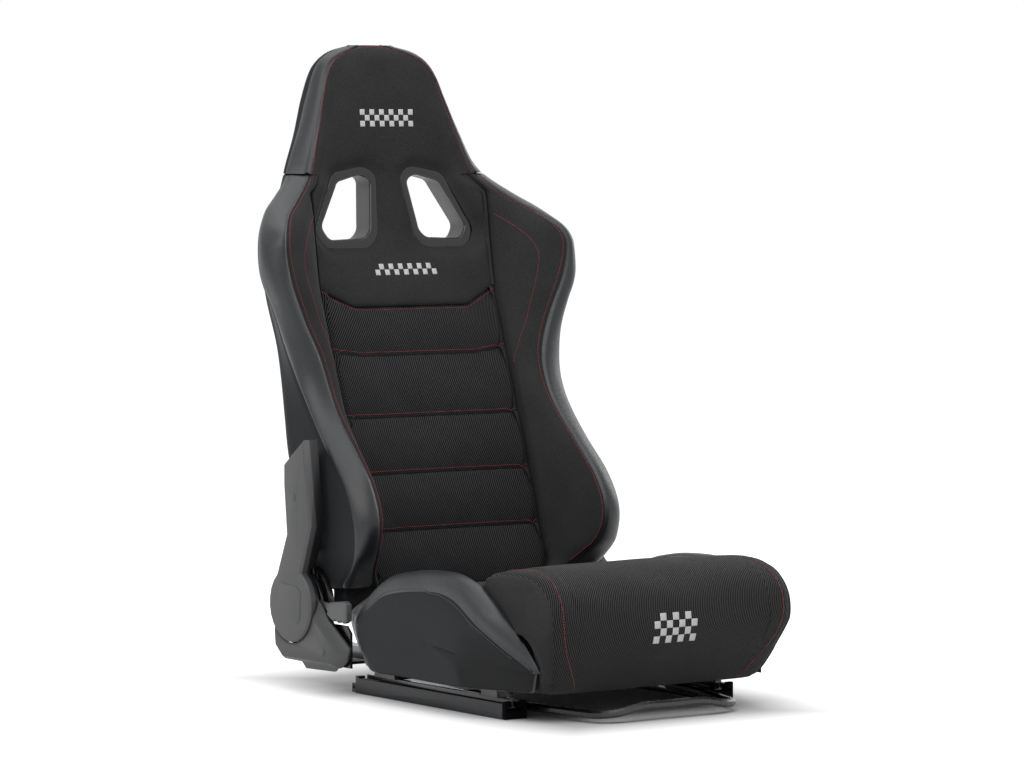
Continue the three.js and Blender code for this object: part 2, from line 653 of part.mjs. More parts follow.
const slotRear = rearY(690) - SLOT.frontY - SLOT.lean * (690 - SLOT.bottom);

/** Openings for both harness slots, cut through foam and rear panel. */
function slotCuts(inset) {
  const hole = slotRing(inset, undefined, -80, slotRear + 60);
  return [hole, mirror(hole)];
}

/** Foam centre of the back, with its sewn channels and the end that tucks down behind the cushion. */
function backCentrePad() {
  const strip = box([-SEAM_X, SEAM_X], [200, 800], [BACK_BOTTOM - 1, 600]);
  const body = solid(backBody(true)).intersect(solid(strip)).intersect(solid(chevronRegion(-GAP, false)));
  const tuck = plateX([[381, 147], [373, 130], [374, 110], [384, 101], [411, 101], [411, 147]], -150, 150);
  return geometryOf(body.subtract(solid(frameRoom(BACK_BOTTOM - 6, 640))).add(solid(tuck)));
}

/** Headrest with the smooth upper panel between the shoulders. */
function headrestPad() {
  const levels = [
    HEAD_BOTTOM + GAP, 752, 775, 800, 828, 853, 874, 892, 904, 913, 920, 925.5, 928.6, HEAD_TOP,
  ];
  const head = loft(levels.map((level) => {
    const half = backHalf(level, false);
    return [...half, ...half.slice(1, -1).reverse().map((v) => new THREE.Vector3(-v.x, v.y, v.z))];
  }));
  const strip = box([-SEAM_X, SEAM_X], [200, 800], [500, HEAD_BOTTOM + GAP + 0.2]);
  const aboveChevron = solid(strip).intersect(solid(chevronRegion(GAP, true)));
  const upperPanel = solid(backBody(false)).intersect(aboveChevron);
  const neck = solid(box([-140, 140], [centreY(738) + 2, centreY(738) + 10], [735, 745]));
  const room = frameRoom(500, 898);
  const joined = upperPanel.add(neck).add(solid(head));
  return geometryOf([room, ...slotCuts(-0.6)].map(solid).reduce((a, b) => a.subtract(b), joined));
}

/** Wing of the back, with its leather edge and the end that tucks down beside the cushion. */
function backWing({ bolts }) {
  const side = box([SEAM_X + GAP, 300], [200, 800], [BACK_BOTTOM - 1, 800]);
  const wing = solid(backBody(false)).intersect(solid(side));
  const plateRoom = plateX(sideMemberOutline(1), 210.4, 218.6);
  const boltRoom = bolts.map(([y, z]) => bar(205, 260, y, z, 6, 10));
  const tuck = plateX([[384, 147], [376, 134], [378, 118], [387, 110], [408, 110], [408, 147]], SEAM_X + 1.5, 205);
  const tools = [frameRoom(BACK_BOTTOM - 6, 740), plateRoom, ...boltRoom];
  return geometryOf(tools.map(solid).reduce((a, b) => a.subtract(b), wing).add(solid(tuck)));
}

/** Rear panel of the back, with both harness slots. */
function rearPanel() {
  const section = (z) => [rearX(z) - rimWidth(z) - GAP, rearY(z) - PANEL, rearY(z)];
  const panel = slab(levelsBetween(BACK_BOTTOM, 896), section);
  return cut(panel, ...slotCuts(4));
}

// ---- back frame ---------------------------------------------------------------------------

// Arm bolts and arm heights; the occupant's right has the taller arm.
const ARMS = {
  right: { bolts: [[414, 206], [416, 330]], plateTop: 352, coverTop: 364, plugZ: 280 },
  left: { bolts: [[414, 206], [412, 254]], plateTop: 266, coverTop: 284, plugZ: 228 },
};

/** Outline of the pressed steel side plate inside a wing, in the YZ plane. */
function sideMemberOutline(grow) {
  return [[396 - grow, 165 - grow], [430 + grow, 165 - grow], [474 + grow, 330], [500 + grow, 424 + grow],
    [462 - grow, 424 + grow], [396 - grow, 340 + grow]];
}

function backSidePlate({ bolts }) {
  return cut(plateX(sideMemberOutline(0), 212, 216), ...bolts.map(([y, z]) => bar(205, 225, y, z, 4.6, 12)));
}

const tubeY = (z) => centreY(z) + padDepth(z) + TUBE_RADIUS + 1;

/** Side tube of the back frame, from the side plate up past the harness slot. */
function backSideTube() {
  const path = [[200, 190], [200, 420], [196, 560], [181, 630], [158, 690], [128, 728], [100, 757], [84, 794]];
  const points = path.map(([x, z]) => new THREE.Vector3(x, tubeY(z), z));
  return rod(new THREE.CatmullRomCurve3(points, false, 'centripetal'), TUBE_RADIUS, 16, 10);
}

/** Arched tube that closes the frame inside the headrest. */
function backTopTube() {
  const half = [[84, 804], [76, 834], [54, 860], [24, 872]];
  const points = [...half, ...half.slice().reverse().map(([x, z]) => [-x, z])];
  const path = points.map(([x, z]) => new THREE.Vector3(x, tubeY(z), z));
  return rod(new THREE.CatmullRomCurve3(path, false, 'centripetal'), TUBE_RADIUS, 14, 10);
}

/** Elastic mat between the side tubes of the back: four straps held apart by two cords. */
function backMat() {
  const inner = 200 - TUBE_RADIUS - 2;
  const strip = (from, to, x0, x1, half) => plateX([[tubeY(from) - half, from], [tubeY(from) + half, from],
    [tubeY(to) + half, to], [tubeY(to) - half, to]], x0, x1);
  const straps = [235, 310, 385, 460].map((z) => strip(z, z + 42, -inner, inner, 1.4));
  const cords = [-94, 90].map((x) => strip(240, 497, x, x + 4, 1.1));
  return join([...straps, ...cords]);
}

// ---- recliner -----------------------------------------------------------------------------

const TOOTH = { count: 22, from: 150, to: 262, tip: 43, root: 40 };
const DRUM = { in: ARM.in - 9.5, radius: 56, hubRadius: 30 };

/** Toothed steel arm bolted to the back, with the spring drum on its inner side. */
function reclinerArm({ bolts, plateTop }) {
  const outline = [[402, plateTop], [404, 166]];
  const polar = (radius, degrees) => {
    const angle = THREE.MathUtils.degToRad(degrees);
    return [HINGE.y + radius * Math.cos(angle), HINGE.z + radius * Math.sin(angle)];
  };
  for (let k = 0; k <= 2 * TOOTH.count; k += 1) {
    const degrees = TOOTH.from + ((TOOTH.to - TOOTH.from) * k) / (2 * TOOTH.count);
    outline.push(polar(k % 2 ? TOOTH.tip : TOOTH.root, degrees));
  }
  [280, 310, 340, 370, 400, 425].forEach((degrees) => outline.push(polar(TOOTH.root, degrees)));
  outline.push([434, 190], [432, plateTop - 22]);
  const holes = bolts.map(([y, z]) => bar(ARM.in - 1, ARM.out + 1, y, z, 4.6, 12));
  const bore = bar(DRUM.in - 1, ARM.out + 1, HINGE.y, HINGE.z, SHAFT_RADIUS + 0.4, 24);
  const drum = bar(DRUM.in, ARM.in - 0.4, HINGE.y, HINGE.z, DRUM.radius, 48);
  const hub = bar(DRUM.in, ARM.in + 1, HINGE.y, HINGE.z, DRUM.hubRadius, 32);
  return cut(join([plateX(outline, ARM.in, ARM.out), drum, hub]), bore, ...holes);
}

/** Hexagon bolt that holds an arm to the side plate in the back. */
function armBolt([y, z]) {
  return join([bar(211, ARM.out + 0.6, y, z, 4.2, 12), bar(ARM.out + 0.4, ARM.out + 5.4, y, z, 8, 6)]);
}

/** Fixed recliner plate: a round housing with a foot that is bolted to the seat frame. */
function reclinerBase() {
  const outline = new THREE.Shape();
  outline.moveTo(300, 44.4);
  outline.lineTo(330, 44.4);
  outline.lineTo(342, 36);
  outline.lineTo(414, 34);
  outline.lineTo(428, 44.4);
  outline.lineTo(462, 78);
  outline.absarc(HINGE.y, HINGE.z, 52, -0.6, Math.PI * 1.06, false);
  outline.lineTo(350, 104);
  outline.lineTo(310, 104);
  outline.lineTo(300, 94);
  const foot = box([RAIL.x - 14, BASE.out], [340, 428], [MEMBER.low - 4.8, MEMBER.low - 0.8]);
  const bore = bar(BASE.in - 1, BASE.out + 1, HINGE.y, HINGE.z, SHAFT_RADIUS + GAP, 24);
  const pin = bar(ARM.in, BASE.in + 1, PAWL.y, PAWL.z, 3.5, 12);
  return cut(join([plateX(outline, BASE.in, BASE.out), foot, pin]), bore);
}

const PAWL = { y: 368, z: 78 };

/** Locking pawl in the plane of the toothed arm, drawn just clear of its teeth. */
function pawl() {
  const outline = [
    [360, 72], [368, 68], [376, 72], [381, 88], [383.4, 101], [378, 110], [368, 106], [361, 90],
  ];
  const bore = bar(ARM.in - 1, ARM.out + 1, PAWL.y, PAWL.z, 3.9, 12);
  return cut(plateX(outline, ARM.in, ARM.out), bore);
}

/** Shaft across the seat that carries the release to both sides. */
function crossShaft() {
  return bar(-LEVER.out - 2, LEVER.out + 2, HINGE.y, HINGE.z, SHAFT_RADIUS, 20);
}

/** Release cam on the cross shaft, outboard of the fixed plate. */
function releaseCam() {
  const outline = [];
  for (let degrees = 0; degrees < 360; degrees += 15) {
    const angle = THREE.MathUtils.degToRad(degrees);
    const radius = 13 + 9 * Math.exp(-(((degrees - 200) / 28) ** 2));
    outline.push([HINGE.y + radius * Math.cos(angle), HINGE.z + radius * Math.sin(angle)]);
  }
  const bore = bar(LEVER.in - 1, LEVER.out + 1, HINGE.y, HINGE.z, SHAFT_RADIUS + GAP, 20);
  return cut(plateX(outline, LEVER.in, LEVER.out), bore);
}

/** Steel blade of the recline lever, from the cross shaft to the grip. */
function leverBlade() {
  const outline = [[HINGE.y + 12, 136], [HINGE.y - 10, 139], [356, 134], [312, 132], [312, 118], [356, 117],
    [HINGE.y - 12, 113], [HINGE.y + 12, 115]];
  const bore = bar(LEVER.in - 1, LEVER.out + 1, HINGE.y, HINGE.z, SHAFT_RADIUS + GAP, 20);
  return cut(plateX(outline, LEVER.in, LEVER.out), bore);
}

/** Plastic grip on the lever, with finger notches underneath. */
function leverGrip() {
  const outline = [
    [346, 117], [346, 131], [340, 136], [304, 140], [297, 136], [297, 112], [305, 108], [311, 111],
    [319, 108], [325, 111], [331, 109], [338, 112],
  ];
  const socket = [[311, 117], [360, 115.6], [360, 135], [311, 133]];
  return cut(plateX(outline, 246.6, 258.4, 2), plateX(socket, LEVER.in - GAP, LEVER.out + GAP));
}

/** Spiral spring that brings the back forward when the recliner is released. */
function returnSpring() {
  const turns = 3.25;
  const [inner, outer] = [10, 26];
  const [half, steps] = [0.7, 52];
  const edge = (offset) => Array.from({ length: steps + 1 }, (_, k) => {
    const angle = (2 * Math.PI * turns * k) / steps;
    const radius = inner + ((outer - inner) * k) / steps + offset;
    return [HINGE.y + radius * Math.cos(angle), HINGE.z + radius * Math.sin(angle)];
  });
  return plateX([...edge(half), ...edge(-half).reverse()], SPRING.in, SPRING.out);
}

/** Outline of the moulded upper cover: a slanted arm that grows out of a round disc. */
function upperCoverShape(inset, armTop) {
  const radius = DISC_RADIUS - inset;
  const shape = new THREE.Shape();
  shape.moveTo(390 + inset, armTop - inset * 2);
  shape.lineTo(371 + inset, 242);
  const start = THREE.MathUtils.degToRad(122);
  shape.lineTo(HINGE.y + radius * Math.cos(start), HINGE.z + radius * Math.sin(start));
  shape.absarc(HINGE.y, HINGE.z, radius, start, THREE.MathUtils.degToRad(52 + 360), false);
  shape.lineTo(434 - inset, 227);
  if (armTop > 330) shape.lineTo(441 - inset, 297);
  shape.lineTo(441 - inset, armTop - 37 - inset);
  return shape;
}

/** Upper hinge cover, hollow and open towards the seat, with a flat crest and a screw plug. */
function upperCover({ coverTop: armTop, plugZ }) {
  const outer = plateX(upperCoverShape(0, armTop), COVER.armIn - 4, COVER.out, 3);
  const openSide = box([COVER.armIn - 10, COVER.armIn], [300, 500], [0, 400]);
  const hollow = plateX(upperCoverShape(COVER.wall, armTop), COVER.armIn - 1, COVER.out - 4);
  const plateRoom = bar(COVER.armIn - 6, COVER.in, HINGE.y, HINGE.z, 62, 32);
  const crest = plateX([[408, 154], [446, 156], [452, 150], [454, 114], [448, 108], [404, 100], [398, 106],
    [396, 146]], COVER.out - 1, COVER.out + 1, 0.5);
  return join([cut(outer, openSide, hollow, plateRoom), crest, plug(414, plugZ, COVER.out)]);
}

/** Lower hinge cover: a hollow tray with a slanted front, cut out round the disc, and its plug. */
function lowerCover() {
  const foot = [
    [476, 82], [475, 62], [456, 45], [314, 44], [297, 54], [289, 74], [346, 112], [372, 138], [472, 146],
  ];
  const face = [
    [471, 82], [469, 65], [451, 50], [326, 50], [315, 56], [313, 70], [368, 109], [390, 130], [468, 130],
  ];
  const tray = (foots, faces, x0, x1) => loft([
    foots.map(([y, z]) => new THREE.Vector3(x0, y, z)),
    foots.map(([y, z]) => new THREE.Vector3(x0 + 4, y, z)),
    faces.map(([y, z]) => new THREE.Vector3(x1, y, z)),
  ], (v) => new THREE.Vector2(v.y, v.z));
  const drawnIn = (outline) => outline.map(([y, z]) => [378 + (y - 378) * 0.965, 92 + (z - 92) * 0.92]);
  const shell = cut(tray(foot, face, COVER.in, COVER.lowerOut),
    tray(drawnIn(foot), drawnIn(face), COVER.in - 1, COVER.lowerOut - COVER.wall));
  const opened = cut(shell, bar(COVER.in - 2, COVER.out + 1, HINGE.y, HINGE.z, DISC_RADIUS + 1.2, 40));
  return join([opened, plug(344, 64, COVER.lowerOut)]);
}

/** Round blanking plug pressed into a cover over its screw. */
function plug(y, z, x) {
  return bar(x - 1, x + 0.8, y, z, 5, 16);
}

// ---- assembly -----------------------------------------------------------------------------

function addRails() {
  pair('lower_rail', lowerRail(), railSteel);
  pair('rail_front_cap', railEnd(-7, -GAP), rubber);
  pair('upper_rail', upperRail(), blackSteel);
  pair('roller_cage', rollerCage(), zincSteel);
  pair('latch_bracket', latchBracket(), blackSteel);
  piece('slide_handle', towelBar(), glossPlastic);
  pair('latch_plate', latchPlate(), zincSteel);
  pair('latch_spring', latchSpring(), springSteel);
}

function addSeat() {
  pair('seat_side_member', sideMember(), blackSteel);
  piece('seat_front_tube', crossTube(-22, 57, RAIL.x - 14 - GAP, 11), blackSteel);
  piece('seat_rear_tube', crossTube(318, 57, RAIL.x - 14 - GAP, 11), blackSteel);
  piece('seat_mat', seatMat(), webbingCloth);
  piece('cushion_centre', cushionCentre(), meshCloth);
  pair('cushion_bolster', cushionBolster(), leather);
}

function addBack() {
  piece('back_centre_pad', backCentrePad(), meshCloth);
  piece('headrest_pad', headrestPad(), suedeCloth);
  armed('back_wing', backWing, leather);
  piece('back_rear_panel', rearPanel(), smoothVinyl);
  pair('harness_bezel', slotRing(0, SLOT.rim, 0, SLOT.depth), glossPlastic);
  pair('harness_sleeve', harnessSleeve(), glossPlastic);
  armed('back_side_plate', backSidePlate, blackSteel);
  pair('back_side_tube', backSideTube(), blackSteel);
  piece('back_top_tube', backTopTube(), blackSteel);
  const lowerTubeHalf = 200 - TUBE_RADIUS - 1;
  piece('back_lower_tube', crossTube(tubeY(205), 205, lowerTubeHalf, 9), blackSteel);
  piece('back_upper_tube', crossTube(tubeY(560), 560, 184, 9), blackSteel);
  piece('back_mat', backMat(), webbingCloth);
}

function addRecliner() {
  armed('recliner_arm', reclinerArm, zincSteel);
  armed('arm_bolt_lower', ({ bolts }) => armBolt(bolts[0]), zincSteel);
  armed('arm_bolt_upper', ({ bolts }) => armBolt(bolts[1]), zincSteel);
  pair('recliner_base', reclinerBase(), blackSteel);
  pair('recliner_pawl', pawl(), zincSteel);
  piece('cross_shaft', crossShaft(), zincSteel);
  piece('release_cam_left', releaseCam(), zincSteel);
  piece('recline_lever', mirror(leverBlade()), blackSteel);
  piece('lever_grip', mirror(leverGrip()), mouldedPlastic);
  pair('return_spring', returnSpring(), springSteel);
  armed('upper_hinge_cover', upperCover, mouldedPlastic);
  pair('lower_hinge_cover', lowerCover(), mouldedPlastic);
}

addRails();
addSeat();
addBack();
addRecliner();
seat.position.y = -ORIGIN_Y;
seat.updateMatrixWorld(true);

export default seat;
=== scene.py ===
"""Looks of a reclining racing seat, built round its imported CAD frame.

Outlines are in millimetres, with x outwards from the middle, y rearwards from the front end of the
floor rails and z up from the floor. place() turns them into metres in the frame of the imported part.
"""

from __future__ import annotations

import json
import logging
import math
from dataclasses import dataclass, field
from enum import Enum
from functools import partial
from typing import Any, Callable, Iterable, Sequence

import bmesh
import bpy
import numpy as np
from mathutils import Matrix, Vector
from mathutils.bvhtree import BVHTree

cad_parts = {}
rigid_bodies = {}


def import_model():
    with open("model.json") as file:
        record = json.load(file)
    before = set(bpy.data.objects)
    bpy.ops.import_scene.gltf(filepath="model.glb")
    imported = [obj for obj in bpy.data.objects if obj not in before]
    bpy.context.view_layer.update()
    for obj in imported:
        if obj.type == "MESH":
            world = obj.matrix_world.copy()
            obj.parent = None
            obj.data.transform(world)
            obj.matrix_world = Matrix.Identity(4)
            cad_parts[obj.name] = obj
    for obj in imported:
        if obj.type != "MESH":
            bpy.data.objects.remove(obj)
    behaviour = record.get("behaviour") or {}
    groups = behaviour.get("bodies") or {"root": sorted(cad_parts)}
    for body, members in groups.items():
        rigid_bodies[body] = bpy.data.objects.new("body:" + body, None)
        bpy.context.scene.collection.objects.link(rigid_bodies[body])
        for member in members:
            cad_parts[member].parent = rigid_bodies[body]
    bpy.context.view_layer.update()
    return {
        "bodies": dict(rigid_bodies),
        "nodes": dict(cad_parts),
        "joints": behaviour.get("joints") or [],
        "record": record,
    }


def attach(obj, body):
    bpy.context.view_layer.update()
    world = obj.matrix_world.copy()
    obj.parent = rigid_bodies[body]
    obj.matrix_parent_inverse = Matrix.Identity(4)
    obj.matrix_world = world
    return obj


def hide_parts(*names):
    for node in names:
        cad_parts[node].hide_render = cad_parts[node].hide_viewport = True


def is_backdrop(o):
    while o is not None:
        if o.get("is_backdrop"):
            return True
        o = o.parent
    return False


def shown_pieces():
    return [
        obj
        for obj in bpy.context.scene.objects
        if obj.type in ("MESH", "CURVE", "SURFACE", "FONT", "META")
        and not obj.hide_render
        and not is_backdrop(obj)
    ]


LOG = logging.getLogger("racing_seat")

MM = 0.001
ORIGIN_Y = 255.3  # middle of the seat, behind the rails' front end
SEAM_X = 155.0  # seam between the centre of the back and its wings
SHOULDER_TOP = 738.6  # where the wings end and the head starts
HEAD_TOP = 930.0
BACK_BOTTOM = 146.0
RIGHT, LEFT = -1, 1  # signs of x on the occupant's right and left
SIDE_NAMES = {RIGHT: "right", LEFT: "left"}
STITCH_LIFT = 0.0003  # metres by which the middle of a stitch stands off its cover
COVERS = ("fine_cloth", "leatherette", "smooth_vinyl")  # finishes in the order of Cover
MIX_LOW, MIX_HIGH, MIX_RESULT = 6, 7, 2  # sockets of a Mix node that carry colours

Colour = tuple[float, float, float]


# ---- numbers and curves ---------------------------------------------------------------------


class Profile:
    """A smooth function through (position, value) pairs, held flat beyond its ends."""

    def __init__(self, *pairs: tuple[float, float]) -> None:
        """Stores the pairs and the slope at each of them.

        Args:
            pairs: positions in rising order, each with its value.
        """
        self.at, self.value = np.array(pairs, float).T
        low = np.maximum(np.arange(len(pairs)) - 1, 0)
        high = np.minimum(np.arange(len(pairs)) + 1, len(pairs) - 1)
        self.slope = (self.value[high] - self.value[low]) / (self.at[high] - self.at[low])

    def __call__(self, position: Any) -> Any:
        """Value at a position, or at each of an array of positions."""
        x = np.clip(position, self.at[0], self.at[-1])
        i = np.clip(np.searchsorted(self.at, x, side="right") - 1, 0, len(self.at) - 2)
        span = self.at[i + 1] - self.at[i]
        t = (x - self.at[i]) / span
        start = (2 * t**3 - 3 * t**2 + 1) * self.value[i] + (t**3 - 2 * t**2 + t) * span * self.slope[i]
        return start + (3 * t**2 - 2 * t**3) * self.value[i + 1] + (t**3 - t**2) * span * self.slope[i + 1]


def place(points: Any) -> np.ndarray:
    """Turns millimetres from the rails' front end into the frame's metres."""
    return (np.asarray(points, float) - (0.0, ORIGIN_Y, 0.0)) * MM


def gather(count: int) -> np.ndarray:
    """Shares from 0 to 1 that lie close together at both ends."""
    return (1 - np.cos(np.linspace(0, np.pi, count))) / 2


def smooth_path(points: Sequence[Sequence[float]], count: int, closed: bool = False) -> np.ndarray:
    """Evenly spaced points on a smooth curve through the given ones.

    Args:
        points: points that the curve passes through.
        count: how many points to return.
        closed: whether the curve returns to its first point.

    Returns:
        An array with one row per point.
    """
    knots = np.array(points, float)
    around = np.vstack([knots[-2:], knots, knots[:3]]) if closed else knots
    steps = np.r_[0, np.cumsum(np.sqrt(np.linalg.norm(np.diff(around, axis=0), axis=1)))]
    fine = np.linspace(steps[2] if closed else 0, steps[-3] if closed else steps[-1], 40 * len(knots))
    curve = np.stack([Profile(*zip(steps, column))(fine) for column in around.T], axis=1)
    length = np.r_[0, np.cumsum(np.linalg.norm(np.diff(curve, axis=0), axis=1))]
    wanted = np.linspace(0, length[-1], count + 1)[:-1] if closed else np.linspace(0, length[-1], count)
    return np.stack([np.interp(wanted, length, column) for column in curve.T], axis=1)


def rounded(outline: Sequence[Sequence[float]], radius: float, per_corner: int = 6) -> np.ndarray:
    """A closed 2-D outline with each corner turned into an arc.

    Args:
        outline: corners in order.
        radius: distance from a corner at which its arc starts, at most.
        per_corner: points on each arc.

    Returns:
        Points x 2.
    """
    corners = np.array(outline, float)
    made = []
    for before, corner, after in zip(np.roll(corners, 1, 0), corners, np.roll(corners, -1, 0)):
        cut = min(radius, 0.45 * np.linalg.norm(before - corner), 0.45 * np.linalg.norm(after - corner))
        start = corner + (before - corner) / np.linalg.norm(before - corner) * cut
        end = corner + (after - corner) / np.linalg.norm(after - corner) * cut
        t = np.linspace(0, 1, per_corner)[:, None]
        made.append((1 - t) ** 2 * start + 2 * t * (1 - t) * corner + t**2 * end)
    return np.vstack(made)


def outline_distance(outline: np.ndarray, points: np.ndarray) -> np.ndarray:
    """Distance of 2-D points from a closed outline, negative inside it.

    Args:
        outline: corners x 2.
        points: any shape x 2.

    Returns:
        An array of the points' shape.
    """
    nearest = np.full(points.shape[:-1], np.inf)
    inside = np.zeros(points.shape[:-1], bool)
    for a, b in zip(outline, np.roll(outline, -1, 0)):
        edge = b - a
        t = np.clip(((points - a) @ edge) / (edge @ edge), 0, 1)
        nearest = np.minimum(nearest, np.linalg.norm(points - a - t[..., None] * edge, axis=-1))
        crosses = (a[1] > points[..., 1]) != (b[1] > points[..., 1])
        if a[1] != b[1]:
            inside ^= crosses & (points[..., 0] < a[0] + (points[..., 1] - a[1]) * edge[0] / edge[1])
    return np.where(inside, -nearest, nearest)


# ---- shader expressions ---------------------------------------------------------------------


class Term:
    """A socket in a shader expression; arithmetic on it adds Math nodes."""

    def __init__(self, graph: Graph, socket: bpy.types.NodeSocket) -> None:
        """Wraps a socket of a graph."""
        self.graph = graph
        self.socket = socket

    def maths(self, operation: str, *values: Any) -> Term:
        """Adds a Math node.

        Args:
            operation: the node's operation.
            values: its inputs in order, terms or numbers.

        Returns:
            The node's result.
        """
        made = self.graph.node("ShaderNodeMath", {"operation": operation}, dict(enumerate(values)))
        return Term(self.graph, made.outputs[0])

    def __add__(self, other: Any) -> Term:
        """Sum."""
        return self.maths("ADD", self, other)

    __radd__ = __add__

    def __sub__(self, other: Any) -> Term:
        """Difference."""
        return self.maths("SUBTRACT", self, other)

    def __rsub__(self, other: Any) -> Term:
        """Difference with the term on the right."""
        return self.maths("SUBTRACT", other, self)

    def __mul__(self, other: Any) -> Term:
        """Product."""
        return self.maths("MULTIPLY", self, other)

    def __pow__(self, other: Any) -> Term:
        """Power."""
        return self.maths("POWER", self, other)

    def sine(self) -> Term:
        """Sine of the term, in radians."""
        return self.maths("SINE", self)

    def between(self, low: float, high: float) -> Term:
        """Rises from 0 at low to 1 at high, and stays within them."""
        settings = {"clamp": True}
        made = self.graph.node("ShaderNodeMapRange", settings, {0: self, 1: low, 2: high, 3: 0.0, 4: 1.0})
        return Term(self.graph, made.outputs[0])


def add_node(
    tree: bpy.types.NodeTree, kind: str, settings: dict | None = None, inputs: dict | None = None
) -> bpy.types.Node:
    """Adds a node to a tree.

    Args:
        tree: the tree.
        kind: the node's type.
        settings: properties that are set first.
        inputs: values, sockets or terms by input name or number.

    Returns:
        The node.
    """
    made = tree.nodes.new(kind)
    for name, value in (settings or {}).items():
        setattr(made, name, value)
    for key, value in (inputs or {}).items():
        given = value.socket if isinstance(value, Term) else value
        if isinstance(given, bpy.types.NodeSocket):
            tree.links.new(given, made.inputs[key])
        else:
            made.inputs[key].default_value = given
    return made


class Graph:
    """The nodes of one material."""

    def __init__(self, name: str) -> None:
        """Starts an empty material of that name."""
        self.material = bpy.data.materials.new(name)
        self.material.use_nodes = True
        self.tree = self.material.node_tree
        self.tree.nodes.clear()

    def node(self, kind: str, settings: dict | None = None, inputs: dict | None = None) -> bpy.types.Node:
        """Adds a node to the material, as add_node() does."""
        return add_node(self.tree, kind, settings, inputs)

    def pick(self, node: bpy.types.Node, output: str | int = 0) -> Term:
        """One output of a node as a term."""
        return Term(self, node.outputs[output])

    def position(self, space: str = "Object") -> Term:
        """Object or UV coordinates, in metres."""
        return self.pick(self.node("ShaderNodeTexCoord"), space)

    def parts(self, vector: Term) -> list[Term]:
        """The three numbers of a vector."""
        split = self.node("ShaderNodeSeparateXYZ", None, {0: vector})
        return [self.pick(split, k) for k in range(3)]

    def noise(self, vector: Term, scale: float, detail: float = 3.0, rough: float = 0.5) -> Term:
        """Noise between 0 and 1; scale is in waves per metre."""
        made = self.node("ShaderNodeTexNoise", None, {
            "Vector": vector, "Scale": scale, "Detail": detail, "Roughness": rough,
        })
        return self.pick(made, "Fac")

    def stretched(self, vector: Term, scale: Sequence[float]) -> Term:
        """A vector with each number multiplied by its own scale."""
        made = self.node("ShaderNodeMapping", None, {"Vector": vector, "Scale": scale})
        return self.pick(made)

    def blend(self, share: Term, low: Colour, high: Colour) -> Term:
        """Colour between low, where share is 0, and high, where it is 1."""
        made = self.node("ShaderNodeMix", {"data_type": "RGBA"}, {
            0: share, MIX_LOW: (*low, 1.0), MIX_HIGH: (*high, 1.0),
        })
        return self.pick(made, MIX_RESULT)

    def scaled(self, colour: Term, share: Term) -> Term:
        """A colour multiplied by a share."""
        grey = self.node("ShaderNodeCombineColor", None, {0: share, 1: share, 2: share})
        made = self.node("ShaderNodeMix", {"data_type": "RGBA", "blend_type": "MULTIPLY"}, {
            0: 1.0, MIX_LOW: colour, MIX_HIGH: self.pick(grey),
        })
        return self.pick(made, MIX_RESULT)

    def surface(
        self, base: Term, roughness: Any, height: Term, relief: float, **constants: Any
    ) -> bpy.types.Material:
        """Ends the graph in a Principled surface.

        Args:
            base: the base colour.
            roughness: a number or a term.
            height: bump height between 0 and 1.
            relief: depth of the bump in metres.
            constants: other sockets, with _ for a space.

        Returns:
            The material.
        """
        sockets = {"Base Color": base, "Roughness": roughness}
        sockets.update({name.replace("_", " "): value for name, value in constants.items()})
        bump = self.node("ShaderNodeBump", None, {"Height": height, "Distance": relief, "Strength": 1.0})
        sockets["Normal"] = self.pick(bump)
        shader = self.node("ShaderNodeBsdfPrincipled", None, sockets)
        self.node("ShaderNodeOutputMaterial", None, {0: self.pick(shader)})
        return self.material


# ---- finishes -------------------------------------------------------------------------------


class RibLean(Enum):
    """Direction of the ribs of a mesh cloth, as an angle from level in degrees."""

    FORWARD = 58.0
    STEEP = 166.0


@dataclass(frozen=True)
class RibbedCloth:
    """Black mesh cloth with raised slanted ribs and small holes between them."""

    name: str
    lean: RibLean
    pitch: float = 0.0030
    yarn: float = 0.0017
    low: Colour = (0.0035, 0.0035, 0.0038)
    high: Colour = (0.085, 0.086, 0.09)
    wander: float = 0.0008  # by which a rib strays from a straight line
    relief: float = 0.0007

    def build(self) -> bpy.types.Material:
        """Makes the material on the piece's UV map, which is in metres."""
        graph = Graph(self.name)
        uv = graph.position("UV")
        wobble = graph.noise(uv, 60.0) - 0.5
        u, v, _ = graph.parts(uv)
        angle = math.radians(self.lean.value)
        across = u * math.sin(angle) - v * math.cos(angle) + wobble * self.wander
        along = u * math.cos(angle) + v * math.sin(angle)
        rib = (across * (math.tau / self.pitch)).sine() * 0.5 + 0.5
        bead = (along * (math.tau / self.yarn)).sine() * 0.5 + 0.5
        height = rib * (bead * 0.3 + 0.7)
        wear = graph.noise(graph.position(), 9.0, 4.0) * 0.5 + 0.75
        tone = height.between(0.3, 1.0) * wear
        colour = graph.blend(tone, self.low, self.high)
        rough = 0.9 - height * 0.22
        return graph.surface(colour, rough, height, self.relief, Specular_IOR_Level=0.12,
                             Sheen_Weight=0.08, Sheen_Roughness=0.4)


